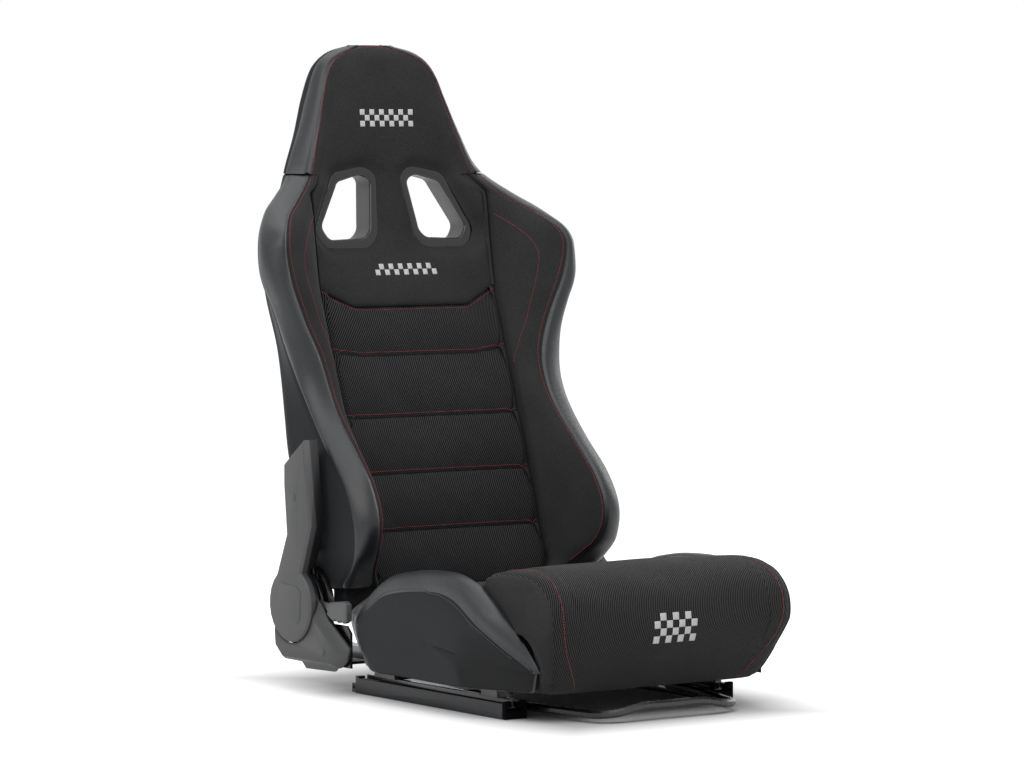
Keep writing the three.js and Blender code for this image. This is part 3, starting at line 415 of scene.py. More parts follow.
@dataclass(frozen=True)
class FineCloth:
    """Black close-woven cloth with a soft nap, as on the headrest and the wings."""

    name: str
    low: Colour = (0.014, 0.014, 0.0145)
    high: Colour = (0.056, 0.056, 0.058)
    nap_scale: float = 900.0
    weave_scale: tuple[float, float, float] = (260.0, 420.0, 620.0)
    relief: float = 0.00035

    def build(self) -> bpy.types.Material:
        """Makes the material on object coordinates."""
        graph = Graph(self.name)
        where = graph.position()
        nap = graph.noise(where, self.nap_scale, 5.0, 0.7)
        cloudy = graph.noise(where, 14.0, 4.0)
        weave = graph.noise(graph.stretched(where, self.weave_scale), 1.0, 2.0, 0.6)
        tone = weave * 0.35 + nap * 0.4 + cloudy * 0.25
        colour = graph.blend(tone.between(0.2, 0.75), self.low, self.high)
        return graph.surface(colour, 0.95 - nap * 0.1, weave * 0.6 + nap * 0.4, self.relief,
                             Specular_IOR_Level=0.06, Sheen_Weight=0.12, Sheen_Roughness=0.35,
                             Sheen_Tint=(0.6, 0.62, 0.66, 1.0))


@dataclass(frozen=True)
class Leatherette:
    """Black grained leatherette with a bluish grey sheen."""

    name: str
    base: Colour = (0.005, 0.0057, 0.007)
    worn: Colour = (0.014, 0.0155, 0.0185)
    roughness: float = 0.34
    grain: float = 0.00016
    shine: float = 0.5
    pebble_scale: float = 620.0

    def build(self) -> bpy.types.Material:
        """Makes the material on object coordinates."""
        graph = Graph(self.name)
        where = graph.position()
        cells = graph.node("ShaderNodeTexVoronoi", {"feature": "DISTANCE_TO_EDGE"}, {
            "Vector": where, "Scale": self.pebble_scale, "Randomness": 1.0,
        })
        pebble = graph.pick(cells, "Distance").between(0.0, 0.32)
        crease = graph.noise(where, 210.0, 4.0, 0.6)
        patch = graph.noise(where, 11.0, 3.0)
        tone = (patch * 0.6 + crease * 0.4).between(0.35, 0.75)
        colour = graph.blend(tone, self.base, self.worn)
        rough = self.roughness + (crease - 0.5) * 0.16 + (patch - 0.5) * 0.1 - pebble * 0.03
        return graph.surface(colour, rough, pebble * 0.7 + crease * 0.5, self.grain,
                             Specular_IOR_Level=self.shine, Sheen_Weight=0.08, Sheen_Roughness=0.5,
                             Sheen_Tint=(0.7, 0.76, 0.85, 1.0))


@dataclass(frozen=True)
class Moulding:
    """Injection-moulded plastic with a fine spark-eroded texture."""

    name: str
    colour: Colour
    roughness: float
    texture: float = 0.00008
    shine: float = 0.5
    shade: float = 0.86  # share of its colour that the darkest patch has

    def build(self) -> bpy.types.Material:
        """Makes the material on object coordinates."""
        graph = Graph(self.name)
        where = graph.position()
        stipple = graph.noise(where, 1500.0, 2.0, 0.6)
        scuff = graph.noise(where, 35.0, 5.0, 0.6)
        dark = tuple(c * self.shade for c in self.colour)
        colour = self.with_painted_shade(graph, graph.blend(scuff.between(0.3, 0.7), dark, self.colour))
        rough = self.roughness + (scuff - 0.5) * 0.12
        return graph.surface(colour, rough, stipple, self.texture, Specular_IOR_Level=self.shine)

    def with_painted_shade(self, graph: Graph, colour: Term) -> Term:
        """Colour of the moulding, here with no painted shade."""
        return colour


@dataclass(frozen=True)
class HingeCover(Moulding):
    """Moulded cover with painted shade: near black on its inner part and in a ring round the hinge's axis,
    for the shade of a deep gap.
    """

    # painted shade: near black inboard of this x and within this radius of the hinge's axis, in metres
    painted_shade_to_x: float = 0.0
    painted_shade_to_radius: float = 0.0
    hinge: tuple[float, float] = (0.1707, 0.126)  # y and z of the hinge's axis
    # softness of the painted shade's edges
    blur_x: float = 0.001
    blur_radius: float = 0.0004
    # share of its colour that the painted shade keeps
    left_in_painted_shade: float = 0.07

    def with_painted_shade(self, graph: Graph, colour: Term) -> Term:
        """Paints shade: turns the colour near black towards the seat's middle and near the hinge's axis."""
        x, y, z = graph.parts(graph.position())
        # painted shade on the inner part, towards the seat's middle
        outer = x.maths("ABSOLUTE", x).between(self.painted_shade_to_x - self.blur_x, self.painted_shade_to_x + self.blur_x)
        # painted shadow in a ring round the hinge's axis, where a gap surrounds the disc
        from_axis = ((y - self.hinge[0]) ** 2 + (z - self.hinge[1]) ** 2) ** 0.5
        low, high = self.painted_shade_to_radius - self.blur_radius, self.painted_shade_to_radius + self.blur_radius
        clear = from_axis.between(low, high)
        return graph.scaled(colour, outer * clear * (1 - self.left_in_painted_shade) + self.left_in_painted_shade)


@dataclass(frozen=True)
class Steel:
    """Pressed or drawn steel, bare, plated or enamelled."""

    name: str
    colour: Colour
    roughness: float
    metallic: float
    coat: float = 0.0
    relief: float = 0.00003
    shade: float = 0.72  # share of its colour that the darkest stain has

    def build(self) -> bpy.types.Material:
        """Makes the material on object coordinates, with streaks along the seat's depth."""
        graph = Graph(self.name)
        where = graph.position()
        streak = graph.noise(graph.stretched(where, (500.0, 18.0, 500.0)), 1.0, 3.0)
        stain = graph.noise(where, 24.0, 5.0, 0.6)
        dark = tuple(c * self.shade for c in self.colour)
        colour = graph.blend((stain * 0.7 + streak * 0.3).between(0.3, 0.7), dark, self.colour)
        rough = self.roughness + (streak - 0.5) * 0.14 + (stain - 0.5) * 0.12
        return graph.surface(colour, rough, streak, self.relief, Metallic=self.metallic,
                             Coat_Weight=self.coat, Coat_Roughness=0.12)


@dataclass(frozen=True)
class Thread:
    """Twisted sewing or embroidery thread."""

    name: str
    colour: Colour
    twist: float = 1400.0
    relief: float = 0.00015
    shade: float = 0.55  # share of its colour between the fibres

    def build(self) -> bpy.types.Material:
        """Makes the material on object coordinates."""
        graph = Graph(self.name)
        where = graph.position()
        fibre = graph.noise(graph.stretched(where, (1.0, 1.0, 2.2)), self.twist, 2.0, 0.6)
        dark = tuple(c * self.shade for c in self.colour)
        colour = graph.blend(fibre.between(0.3, 0.65), dark, self.colour)
        return graph.surface(colour, 0.75 - fibre * 0.2, fibre, self.relief, Sheen_Weight=0.2)


@dataclass(frozen=True)
class Webbing:
    """Woven elastic strap with ribs across it."""

    name: str
    colour: Colour = (0.03, 0.03, 0.032)
    rib_pitch: float = 0.0022
    row_pitch: float = 0.0031
    relief: float = 0.0004
    shade: float = 0.4  # share of its colour between the ribs

    def build(self) -> bpy.types.Material:
        """Makes the material on object coordinates."""
        graph = Graph(self.name)
        x, _, z = graph.parts(graph.position())
        ribs = (x * (math.tau / self.rib_pitch)).sine() * 0.5 + 0.5
        rows = (z * (math.tau / self.row_pitch)).sine() * 0.5 + 0.5
        weave = ribs * 0.6 + rows * 0.4
        colour = graph.blend(weave, tuple(c * self.shade for c in self.colour), self.colour)
        return graph.surface(colour, 0.85, weave, self.relief, Sheen_Weight=0.1)


FINISHES = (
    RibbedCloth("back_mesh_cloth", RibLean.FORWARD),
    RibbedCloth("cushion_mesh_cloth", RibLean.STEEP),
    FineCloth("fine_cloth"),
    Leatherette("leatherette"),
    Leatherette("smooth_vinyl", (0.014, 0.0141, 0.0148), (0.02, 0.0203, 0.0213), 0.62, 0.00008, 0.12),
    # both hinge covers carry painted shade: the arm cover near black on its inner part, the base cover in a
    # ring round the disc
    HingeCover("arm_cover_plastic", (0.068, 0.069, 0.072), 0.48, painted_shade_to_x=0.2585),
    HingeCover("base_cover_plastic", (0.044, 0.045, 0.047), 0.48, painted_shade_to_radius=0.0585),
    Moulding("sleeve_plastic", (0.1, 0.1, 0.105), 0.5),
    Moulding("lever_plastic", (0.085, 0.087, 0.09), 0.42),
    Moulding("gloss_plastic", (0.008, 0.0085, 0.0095), 0.12, 0.00001, 0.55),
    Moulding("rubber", (0.003, 0.003, 0.003), 0.85, 0.0002, 0.08),
    Steel("black_enamel", (0.005, 0.005, 0.0053), 0.26, 0.0, 0.25),
    Steel("rail_steel", (0.045, 0.046, 0.049), 0.38, 0.6),
    Steel("zinc_plate", (0.45, 0.45, 0.44), 0.3, 1.0),
    Steel("spring_steel", (0.16, 0.16, 0.17), 0.35, 1.0),
    Thread("crimson_thread", (0.3, 0.012, 0.022)),
    Thread("grey_thread", (0.06, 0.06, 0.064)),
    Thread("white_thread", (0.78, 0.78, 0.79), 1100.0),
    Webbing("webbing"),
)


class Wardrobe:
    """Every finish of the seat, built once and handed out by name."""

    def __init__(self) -> None:
        """Builds the finishes."""
        self.made = {finish.name: finish.build() for finish in FINISHES}

    def __getitem__(self, name: str) -> bpy.types.Material:
        """The material of that name."""
        return self.made[name]

    def dress(self, piece: bpy.types.Object, *names: str) -> bpy.types.Object:
        """Gives a piece these finishes in order, in place of its own; its faces keep their numbers."""
        slots = piece.data.materials
        while len(slots) < len(names):
            slots.append(None)
        for number, name in enumerate(names):
            slots[number] = self.made[name]
        return piece


# ---- meshes ---------------------------------------------------------------------------------


def link(name: str, data: bpy.types.ID) -> bpy.types.Object:
    """Puts data into the scene as an object of that name."""
    made = bpy.data.objects.new(name, data)
    bpy.context.scene.collection.objects.link(made)
    return made


def face_outwards(work: bmesh.types.BMesh) -> None:
    """Turns the faces of a closed mesh outwards and shades them smooth."""
    bmesh.ops.recalc_face_normals(work, faces=work.faces)
    if work.calc_volume(signed=True) < 0:
        bmesh.ops.reverse_faces(work, faces=work.faces)
    for face in work.faces:
        face.smooth = True


def tidy_mesh(mesh: bpy.types.Mesh, sharp: float = 40.0) -> bpy.types.Mesh:
    """Merges doubles, turns the faces outwards and shades smooth between sharp edges."""
    work = bmesh.new()
    work.from_mesh(mesh)
    bmesh.ops.remove_doubles(work, verts=work.verts, dist=1e-6)
    bmesh.ops.dissolve_degenerate(work, edges=work.edges, dist=1e-7)
    face_outwards(work)
    work.to_mesh(mesh)
    work.free()
    mesh.set_sharp_from_angle(angle=math.radians(sharp))
    return mesh


def mirrored(mesh: bpy.types.Mesh, name: str) -> bpy.types.Mesh:
    """A copy of a mesh on the other side of the seat, with its faces still outwards."""
    made = mesh.copy()
    made.name = name
    made.transform(Matrix.Diagonal((-1.0, 1.0, 1.0, 1.0)))
    made.flip_normals()
    return made


def surface_tree(piece: bpy.types.Object) -> BVHTree:
    """A search tree of a piece's faces."""
    work = bmesh.new()
    work.from_mesh(piece.data)
    tree = BVHTree.FromBMesh(work)
    work.free()
    return tree


def on_surface(tree: BVHTree, points: np.ndarray, lift: float = STITCH_LIFT) -> np.ndarray:
    """Moves points in metres to the nearest spots of a surface.

    Args:
        tree: the surface.
        points: rows of x, y and z.
        lift: how far the result stands off the surface, in metres.

    Returns:
        The moved points.
    """
    made = []
    for point in points:
        spot, normal, _, _ = tree.find_nearest(Vector(point))
        made.append(spot + normal * lift)
    return np.array(made)


@dataclass
class Loft:
    """A closed body of rings with equal point counts, in millimetres.

    Attributes:
        rings: levels x points x 3.
        regions: finish number of the faces after each point, levels x points.
        held: 1 where the cover is sewn or glued down, levels x points.
        zero: column from which distances round the ring are measured.
    """

    rings: np.ndarray
    regions: np.ndarray
    held: np.ndarray
    zero: int = 0

    def around(self) -> np.ndarray:
        """Distance of each point along its ring from the zero column."""
        steps = np.linalg.norm(np.diff(self.rings, axis=1), axis=2)
        length = np.concatenate([np.zeros((len(self.rings), 1)), np.cumsum(steps, axis=1)], axis=1)
        return length - length[:, self.zero:self.zero + 1]

    def along(self) -> np.ndarray:
        """Distance of each point along the zero column from the first level."""
        steps = np.linalg.norm(np.diff(self.rings[:, self.zero], axis=0), axis=1)
        return np.r_[0, np.cumsum(steps)][:, None] * np.ones(self.rings.shape[1])

    def normals(self) -> np.ndarray:
        """Outward unit normals."""
        round_way = np.roll(self.rings, -1, axis=1) - np.roll(self.rings, 1, axis=1)
        long_way = np.gradient(self.rings, axis=0)
        normal = np.cross(round_way, long_way)
        normal /= np.maximum(np.linalg.norm(normal, axis=2, keepdims=True), 1e-9)
        middle = self.rings.mean(axis=1, keepdims=True)
        outward = np.sum(normal * (self.rings - middle), axis=2).sum()
        return normal if outward > 0 else -normal

    def swell(self, amount: np.ndarray) -> Loft:
        """Moves each point along its normal by its amount in millimetres."""
        self.rings = self.rings + self.normals() * amount[..., None]
        return self

    def mesh(self, name: str) -> bpy.types.Mesh:
        """Builds the mesh in the frame's metres, with its UV map in metres and its finish numbers."""
        levels, count, _ = self.rings.shape
        index = np.arange(levels * count).reshape(levels, count)
        after = np.roll(index, -1, axis=1)
        quads = np.stack([index[:-1], after[:-1], after[1:], index[1:]], axis=-1).reshape(-1, 4)
        caps = [index[0].tolist()[::-1], index[-1].tolist()]
        made = bpy.data.meshes.new(name)
        made.from_pydata(place(self.rings.reshape(-1, 3)).tolist(), [], quads.tolist() + caps)
        of_caps = [int(self.regions[end, -1]) for end in (0, -1)]
        regions = self.regions[:-1].reshape(-1).tolist() + of_caps
        made.polygons.foreach_set("material_index", np.array(regions, np.int32))
        self._map(made, index)
        work = bmesh.new()
        work.from_mesh(made)
        bmesh.ops.triangulate(work, faces=[face for face in work.faces if len(face.verts) > 4])
        face_outwards(work)
        work.to_mesh(made)
        work.free()
        return made

    def _map(self, mesh: bpy.types.Mesh, index: np.ndarray) -> None:
        """Writes the UV map: u round the ring and v along the levels."""
        u, v = self.around(), self.along()
        closing = np.linalg.norm(self.rings[:, 0] - self.rings[:, -1], axis=1) + u[:, -1]
        u, v = np.column_stack([u, closing]) * MM, np.column_stack([v, v[:, -1:]]) * MM
        levels, count = index.shape
        rows, columns = np.divmod(np.arange((levels - 1) * count), count)
        corners = [(rows, columns), (rows, columns + 1), (rows + 1, columns + 1), (rows + 1, columns)]
        quads = np.stack([np.stack([u[c], v[c]], axis=-1) for c in corners], axis=1).reshape(-1, 2)
        caps = np.concatenate([np.stack([u[k, :count], v[k, :count]], axis=-1) for k in (0, -1)])
        layer = mesh.uv_layers.new(name="metres")
        layer.data.foreach_set("uv", np.concatenate([quads, caps]).ravel().astype(np.float32))


class Upholsterer:
    """Swells the covers of all pads together by a cloth simulation with pressure inside."""

    frames = 20
    cover = {
        "quality": 4, "mass": 0.3, "tension_stiffness": 20, "compression_stiffness": 10, "shear_stiffness": 8,
        "bending_stiffness": 0.6, "use_pressure": True, "uniform_pressure_force": 4.0,
        "vertex_group_mass": "held",
    }

    def __init__(self) -> None:
        """Starts with no pads."""
        self.pads: list[tuple[bpy.types.Object, np.ndarray, float]] = []

    def add(self, pad: bpy.types.Object, held: np.ndarray, cap: float) -> None:
        """Takes a pad in.

        Args:
            pad: its object, unmerged, with one vertex per loft point.
            held: one number per vertex, 1 where it may not move.
            cap: the most that a point may move, in metres.
        """
        self.pads.append((pad, held.ravel(), cap))

    def run(self) -> None:
        """Simulates every pad and keeps the capped, evened result in its mesh."""
        for pad, held, _ in self.pads:
            self._prepare(pad, held)
        scene = bpy.context.scene
        scene.frame_start, scene.frame_end = 1, self.frames
        for frame in range(1, self.frames + 1):
            scene.frame_set(frame)
        graph = bpy.context.evaluated_depsgraph_get()
        for pad, _, cap in self.pads:
            self._keep(pad, pad.evaluated_get(graph), cap)
        for pad, _, _ in self.pads:
            pad.modifiers.clear()
            pad.vertex_groups.clear()
        scene.frame_set(1)
        for pad, _, _ in self.pads:
            tidy_mesh(pad.data, 75.0)

    def _prepare(self, pad: bpy.types.Object, held: np.ndarray) -> None:
        """Adds the pin group and the cloth modifier."""
        group = pad.vertex_groups.new(name="held")
        weights = np.round(held, 1)
        for weight in np.unique(weights):
            members = np.flatnonzero(np.isclose(weights, weight)).tolist()
            group.add(members, float(weight), "REPLACE")
        cloth = pad.modifiers.new("Swell", "CLOTH")
        for name, value in self.cover.items():
            setattr(cloth.settings, name, value)
        cloth.settings.effector_weights.gravity = 0.0
        cloth.collision_settings.use_collision = False
        cloth.point_cache.frame_start = 1
        cloth.point_cache.frame_end = self.frames

    def _keep(self, pad: bpy.types.Object, moved: bpy.types.Object, cap: float) -> None:
        """Writes the simulated places into the mesh, none further off than the cap."""
        count = len(pad.data.vertices)
        before, after = np.zeros(count * 3, np.float32), np.zeros(count * 3, np.float32)
        pad.data.vertices.foreach_get("co", before)
        moved.data.vertices.foreach_get("co", after)
        shift = (after - before).reshape(-1, 3)
        shift[~np.isfinite(shift).all(axis=1)] = 0.0
        length = np.linalg.norm(shift, axis=1, keepdims=True)
        shift *= cap / (cap + length)
        shift = self._evened(pad.data, shift)
        pad.data.vertices.foreach_set("co", (before.reshape(-1, 3) + shift).ravel())
        pad.data.update()
        LOG.info("%s swelled by up to %.1f mm", pad.name, np.linalg.norm(shift, axis=1).max() / MM)

    def _evened(self, mesh: bpy.types.Mesh, shift: np.ndarray, passes: int = 2) -> np.ndarray:
        """Averages each point's shift with those of its neighbours."""
        ends = np.zeros(len(mesh.edges) * 2, np.int32)
        mesh.edges.foreach_get("vertices", ends)
        ends = ends.reshape(-1, 2)
        degree = np.maximum(np.bincount(ends.ravel(), minlength=len(shift)), 1)[:, None]
        for _ in range(passes):
            total = np.zeros_like(shift)
            np.add.at(total, ends[:, 0], shift[ends[:, 1]])
            np.add.at(total, ends[:, 1], shift[ends[:, 0]])
            shift = 0.5 * shift + 0.5 * total / degree
        return shift


# ---- what repeats: stitches and screws ------------------------------------------------------


class Repeater:
    """Geometry Nodes trees that lay a small piece along curves or on points."""

    @staticmethod
    def _tree(name: str, sizes: dict[str, float]) -> tuple[bpy.types.GeometryNodeTree, Callable]:
        """Starts a tree with a geometry input, named sizes and a geometry output.

        Args:
            name: the tree's name.
            sizes: input names with their values in metres.

        Returns:
            The tree and a function that adds a node from its type, settings and inputs.
        """
        tree = bpy.data.node_groups.new(name, "GeometryNodeTree")
        tree.interface.new_socket("Geometry", in_out="INPUT", socket_type="NodeSocketGeometry")
        for size, value in sizes.items():
            socket = tree.interface.new_socket(size, in_out="INPUT", socket_type="NodeSocketFloat")
            socket.default_value = value
        tree.interface.new_socket("Geometry", in_out="OUTPUT", socket_type="NodeSocketGeometry")
        return tree, partial(add_node, tree)

    @staticmethod
    def _baked(name: str, source: bpy.types.Object, tree: bpy.types.GeometryNodeTree,
               sizes: dict[str, float]) -> bpy.types.Object:
        """Runs a tree on an object and returns its result as a plain mesh object.

        Args:
            name: the new object's name.
            source: curve or mesh that the tree works on; it is removed.
            tree: the tree.
            sizes: values of its inputs.

        Returns:
            The new object.
        """
        modifier = source.modifiers.new("Repeat", "NODES")
        modifier.node_group = tree
        for item in tree.interface.items_tree:
            if item.in_out == "INPUT" and item.name in sizes:
                modifier[item.identifier] = sizes[item.name]
        graph = bpy.context.evaluated_depsgraph_get()
        mesh = bpy.data.meshes.new_from_object(source.evaluated_get(graph))
        source.modifiers.clear()
        bpy.data.objects.remove(source)
        mesh.name = name
        return link(name, mesh)

    @classmethod
    def stitches(cls, name: str, rows: Iterable[np.ndarray], finish: bpy.types.Material,
                 pitch: float = 0.0040, length: float = 0.0032, radius: float = 0.00062) -> bpy.types.Object:
        """Lays thread stitches along rows of points.

        Args:
            name: the new piece's name.
            rows: one array of points in metres for each row.
            finish: the thread.
            pitch: distance from one stitch to the next.
            length: length of a stitch.
            radius: half the thread's thickness.

        Returns:
            The stitches as one mesh object.
        """
        curve = bpy.data.curves.new(name, "CURVE")
        curve.dimensions = "3D"
        for row in rows:
            spline = curve.splines.new("POLY")
            spline.points.add(len(row) - 1)
            spline.points.foreach_set("co", np.column_stack([row, np.ones(len(row))]).ravel())
        sizes = {"Pitch": pitch, "Half length": length / 2, "Radius": radius}
        tree, add = cls._tree(name + "_tree", sizes)
        given = add("NodeGroupInput").outputs
        spots = add("GeometryNodeResampleCurve", {"mode": "LENGTH"}, {
            "Curve": given[0], "Length": given["Pitch"],
        })
        thread = add("GeometryNodeMeshUVSphere", None, {"Segments": 8, "Rings": 5, "Radius": 1.0})
        scale = add("ShaderNodeCombineXYZ", None, {
            0: given["Half length"], 1: given["Radius"], 2: given["Radius"],
        })
        shaped = add("GeometryNodeTransform", None, {
            "Geometry": thread.outputs[0], "Scale": scale.outputs[0],
        })
        way = add("GeometryNodeInputTangent")
        turn = add("FunctionNodeAlignRotationToVector", {"axis": "X"}, {"Vector": way.outputs[0]})
        laid = add("GeometryNodeInstanceOnPoints", None, {
            "Points": spots.outputs[0], "Instance": shaped.outputs[0], "Rotation": turn.outputs[0],
        })
        real = add("GeometryNodeRealizeInstances", None, {0: laid.outputs[0]})
        smooth = add("GeometryNodeSetShadeSmooth", None, {0: real.outputs[0]})
        painted = add("GeometryNodeSetMaterial", None, {"Geometry": smooth.outputs[0], "Material": finish})
        add("NodeGroupOutput", None, {0: painted.outputs[0]})
        return cls._baked(name, link(name + "_rows", curve), tree, sizes)

    @classmethod
    def screws(cls, name: str, spots: Sequence[Sequence[float]], way: Sequence[float],
               finish: bpy.types.Material, radius: float = 0.0065, height: float = 0.005) -> bpy.types.Object:
        """Sets a hexagon screw head with its washer on each spot.

        Args:
            name: the new piece's name.
            spots: places in metres.
            way: direction in which the heads point.
            finish: their metal.
            radius: half the width of a head over its corners.
            height: height of a head.

        Returns:
            The heads as one mesh object.
        """
        mesh = bpy.data.meshes.new(name + "_spots")
        mesh.from_pydata([tuple(spot) for spot in spots], [], [])
        sizes = {
            "Radius": radius, "Height": height, "Washer radius": radius * 1.35, "Washer height": height * 0.3,
        }
        tree, add = cls._tree(name + "_tree", sizes)
        given = add("NodeGroupInput").outputs
        washer = add("GeometryNodeMeshCylinder", None, {
            "Vertices": 20, "Radius": given["Washer radius"], "Depth": given["Washer height"],
        })
        head = add("GeometryNodeMeshCylinder", None, {
            "Vertices": 6, "Radius": given["Radius"], "Depth": given["Height"],
        })
        half = add("ShaderNodeMath", {"operation": "MULTIPLY"}, {0: given["Height"], 1: 0.6})
        up = add("ShaderNodeCombineXYZ", None, {2: half.outputs[0]})
        raised = add("GeometryNodeTransform", None, {
            "Geometry": head.outputs[0], "Translation": up.outputs[0],
        })
        both = add("GeometryNodeJoinGeometry")
        for part in (washer, raised):
            both.id_data.links.new(part.outputs[0], both.inputs[0])
        turn = add("FunctionNodeAlignRotationToVector", {"axis": "Z"}, {"Vector": tuple(way)})
        laid = add("GeometryNodeInstanceOnPoints", None, {
            "Points": given[0], "Instance": both.outputs[0], "Rotation": turn.outputs[0],
        })
        real = add("GeometryNodeRealizeInstances", None, {0: laid.outputs[0]})
        painted = add("GeometryNodeSetMaterial", None, {"Geometry": real.outputs[0], "Material": finish})
        add("NodeGroupOutput", None, {0: painted.outputs[0]})
        return cls._baked(name, link(name + "_points", mesh), tree, sizes)


# ---- backrest -------------------------------------------------------------------------------


@dataclass
class BackForm:
    """Section curves of the backrest at each height, in millimetres."""

    centre_y: Profile = Profile(
        (140, 378), (223, 405), (306, 430), (387, 455), (476, 482), (547, 505), (600, 527), (650, 543),
        (700, 556), (756, 567), (810, 576), (850, 580), (892, 588), (911, 595), (922, 604), (HEAD_TOP, 616))
    seam_y: Profile = Profile(
        (140, 374), (223, 398), (306, 424), (388, 452), (487, 487), (572, 516), (630, 527), (716, 541),
        (745, 562), (800, 573), (853, 582), (892, 590), (911, 597), (922, 606), (HEAD_TOP, 618))
    stitch_x: Profile = Profile(
        (146, 158), (175, 175), (205, 190), (250, 194), (345, 190), (440, 187), (480, 191), (530, 210),
        (590, 234), (635, 243), (660, 236), (680, 217), (700, 187), (725, 158), (748, 141), (800, 123),
        (853, 106), (890, 92), (911, 72), (922, 44), (HEAD_TOP, 20))
    stitch_y: Profile = Profile(
        (146, 372), (175, 345), (205, 312), (250, 298), (300, 320), (345, 362), (400, 416), (440, 441),
        (480, 456), (530, 465), (635, 463), (660, 474), (680, 498), (700, 524), (725, 545), (748, 560),
        (800, 572), (853, 583), (890, 591), (911, 599), (922, 609), (HEAD_TOP, 620))
    edge_x: Profile = Profile(
        (146, 214), (157, 219), (180, 225), (205, 231), (250, 234), (298, 232), (353, 229), (417, 229),
        (483, 237), (551, 256), (575, 265), (600, 270), (635, 270), (662, 261), (688, 239), (710, 208),
        (735, 177), (795, 141), (850, 119), (892, 103), (911, 89), (922, 70), (HEAD_TOP, 38))
    edge_y: Profile = Profile(
        (146, 376), (157, 365), (180, 337), (205, 319), (250, 318), (298, 343), (353, 398), (417, 449),
        (483, 483), (551, 494), (600, 504), (635, 508), (665, 519), (690, 539), (715, 563), (745, 586),
        (795, 603), (850, 613), (892, 615), (911, 615), (922, 617), (HEAD_TOP, 622))
    rear_x: Profile = Profile(
        (146, 214), (180, 225), (250, 232), (330, 235), (430, 227), (490, 224), (560, 229), (630, 228),
        (650, 222), (675, 210), (698, 194), (717, 181), (740, 170), (795, 140), (850, 119), (892, 103),
        (911, 88), (922, 68), (HEAD_TOP, 34))
    rear_y: Profile = Profile(
        (146, 438), (306, 488), (476, 540), (600, 577), (650, 589), (700, 599), (742, 610), (795, 629),
        (850, 641), (892, 640), (911, 633), (922, 628), (HEAD_TOP, 624))
    edge_swell: Profile = Profile(
        (146, 0.8), (420, 0.8), (490, 1.15), (575, 1.35), (630, 1.05), (700, 0.9), (750, 0.5))
    rise: Profile = Profile(
        (306, 0), (387, 1), (476, 7), (547, 26), (600, 12), (640, 0))
    rim: Profile = Profile((680, 12), (716, 26))
    bend_x: float = 101.0
    foam: float = 32.0
    frame_depth: float = 27.0
    corner: float = 22.0
    cloth_swell: float = 0.12  # share of a wing face's width by which it swells, up to the most
    most_swell: float = 9.0
    stitch_pull: tuple[float, float] = (0.42, -0.28)  # the leather's curve leaves its seam this way
    edge_pull: tuple[float, float] = (0.12, -0.48)  # and reaches the side panel this way

    def seam_half(self, z: Any) -> Any:
        """Half width of the centre at a height."""
        return np.minimum(SEAM_X, self.stitch_x(z) * 0.9)

    def room_y(self, z: Any) -> Any:
        """Where the foam ends and the room for the frame starts."""
        return self.centre_y(z) + np.minimum(self.foam, self.rear_y(z) - self.centre_y(z) - self.frame_depth)

    def front(self, z: float, shares: np.ndarray) -> np.ndarray:
        """Centre of the front at a level; shares run from -1 to 1 across it."""
        x = shares * self.seam_half(z)
        climb = np.clip((np.abs(x) - self.bend_x) / (SEAM_X - self.bend_x), 0, 1)
        height = z + self.rise(z) * climb
        y = self.centre_y(height) + (self.seam_y(height) - self.centre_y(height)) * shares**2
        return np.stack([x, y, height], axis=1)

    def stitch(self, z: float) -> np.ndarray:
        """Point of the outer stitch line at a level, on the +x side."""
        return np.array([self.stitch_x(z), self.stitch_y(z), z])

    def cloth(self, z: float, shares: np.ndarray) -> np.ndarray:
        """Inner face of a wing, from the centre's seam to the outer stitch line."""
        seam = np.array([self.seam_half(z), self.seam_y(z), z])
        stitch = self.stitch(z)
        made = seam + shares[:, None] * (stitch - seam)
        swell = min(np.linalg.norm(stitch - seam) * self.cloth_swell, self.most_swell)
        made[:, 1] -= swell * np.sin(np.pi * shares)
        return made

    def leather(self, z: float, shares: np.ndarray) -> np.ndarray:
        """Leather edge, from the outer stitch line to the side panel."""
        stitch = self.stitch(z)
        edge = np.array([self.edge_x(z), self.edge_y(z), z])
        width = np.linalg.norm(edge - stitch) * self.edge_swell(z)
        first = stitch + (width * self.stitch_pull[0], width * self.stitch_pull[1], 0)
        second = edge + (width * self.edge_pull[0], width * self.edge_pull[1], 0)
        t = shares[:, None]
        return ((1 - t) ** 3 * stitch + 3 * (1 - t) ** 2 * t * first
                + 3 * (1 - t) * t**2 * second + t**3 * edge)

    def side(self, z: float, shares: np.ndarray) -> np.ndarray:
        """Side panel, from the leather edge round the rear corner."""
        edge = np.array([self.edge_x(z), self.edge_y(z)])
        rear = np.array([self.rear_x(z), self.rear_y(z)])
        radius = min(self.corner, (rear[1] - edge[1]) * 0.8, rear[0] * 0.5)
        straight = np.array([rear[0], rear[1] - radius])
        flat = np.linalg.norm(straight - edge)
        length = flat + radius * math.pi / 2
        made = []
        for share in shares:
            walked = share * length
            if walked < flat:
                x, y = edge + (straight - edge) * walked / flat
            else:
                angle = (walked - flat) / radius
                x, y = rear - radius + radius * np.array([math.cos(angle), math.sin(angle)])
            made.append([x, y, z])
        return np.array(made)


class Cover(Enum):
    """Finish numbers of an upholstered piece."""

    CLOTH = 0
    LEATHER = 1
    VINYL = 2


def groove(distance: np.ndarray, depth: float, width: float) -> np.ndarray:
    """How far a surface dips at a distance from a seam, all in millimetres."""
    return -depth * np.exp(-((distance / width) ** 2))


def off_column(reach: np.ndarray, column: int) -> np.ndarray:
    """Distance of each point from one column, along its own level."""
    return np.abs(reach - reach[:, column:column + 1])


def end_drop(share: np.ndarray, depth: Any) -> np.ndarray:
    """How far a crowned end falls away: by depth where share is 0, and not where it is 1."""
    return depth * (1 - np.sqrt(1 - (1 - share) ** 2))


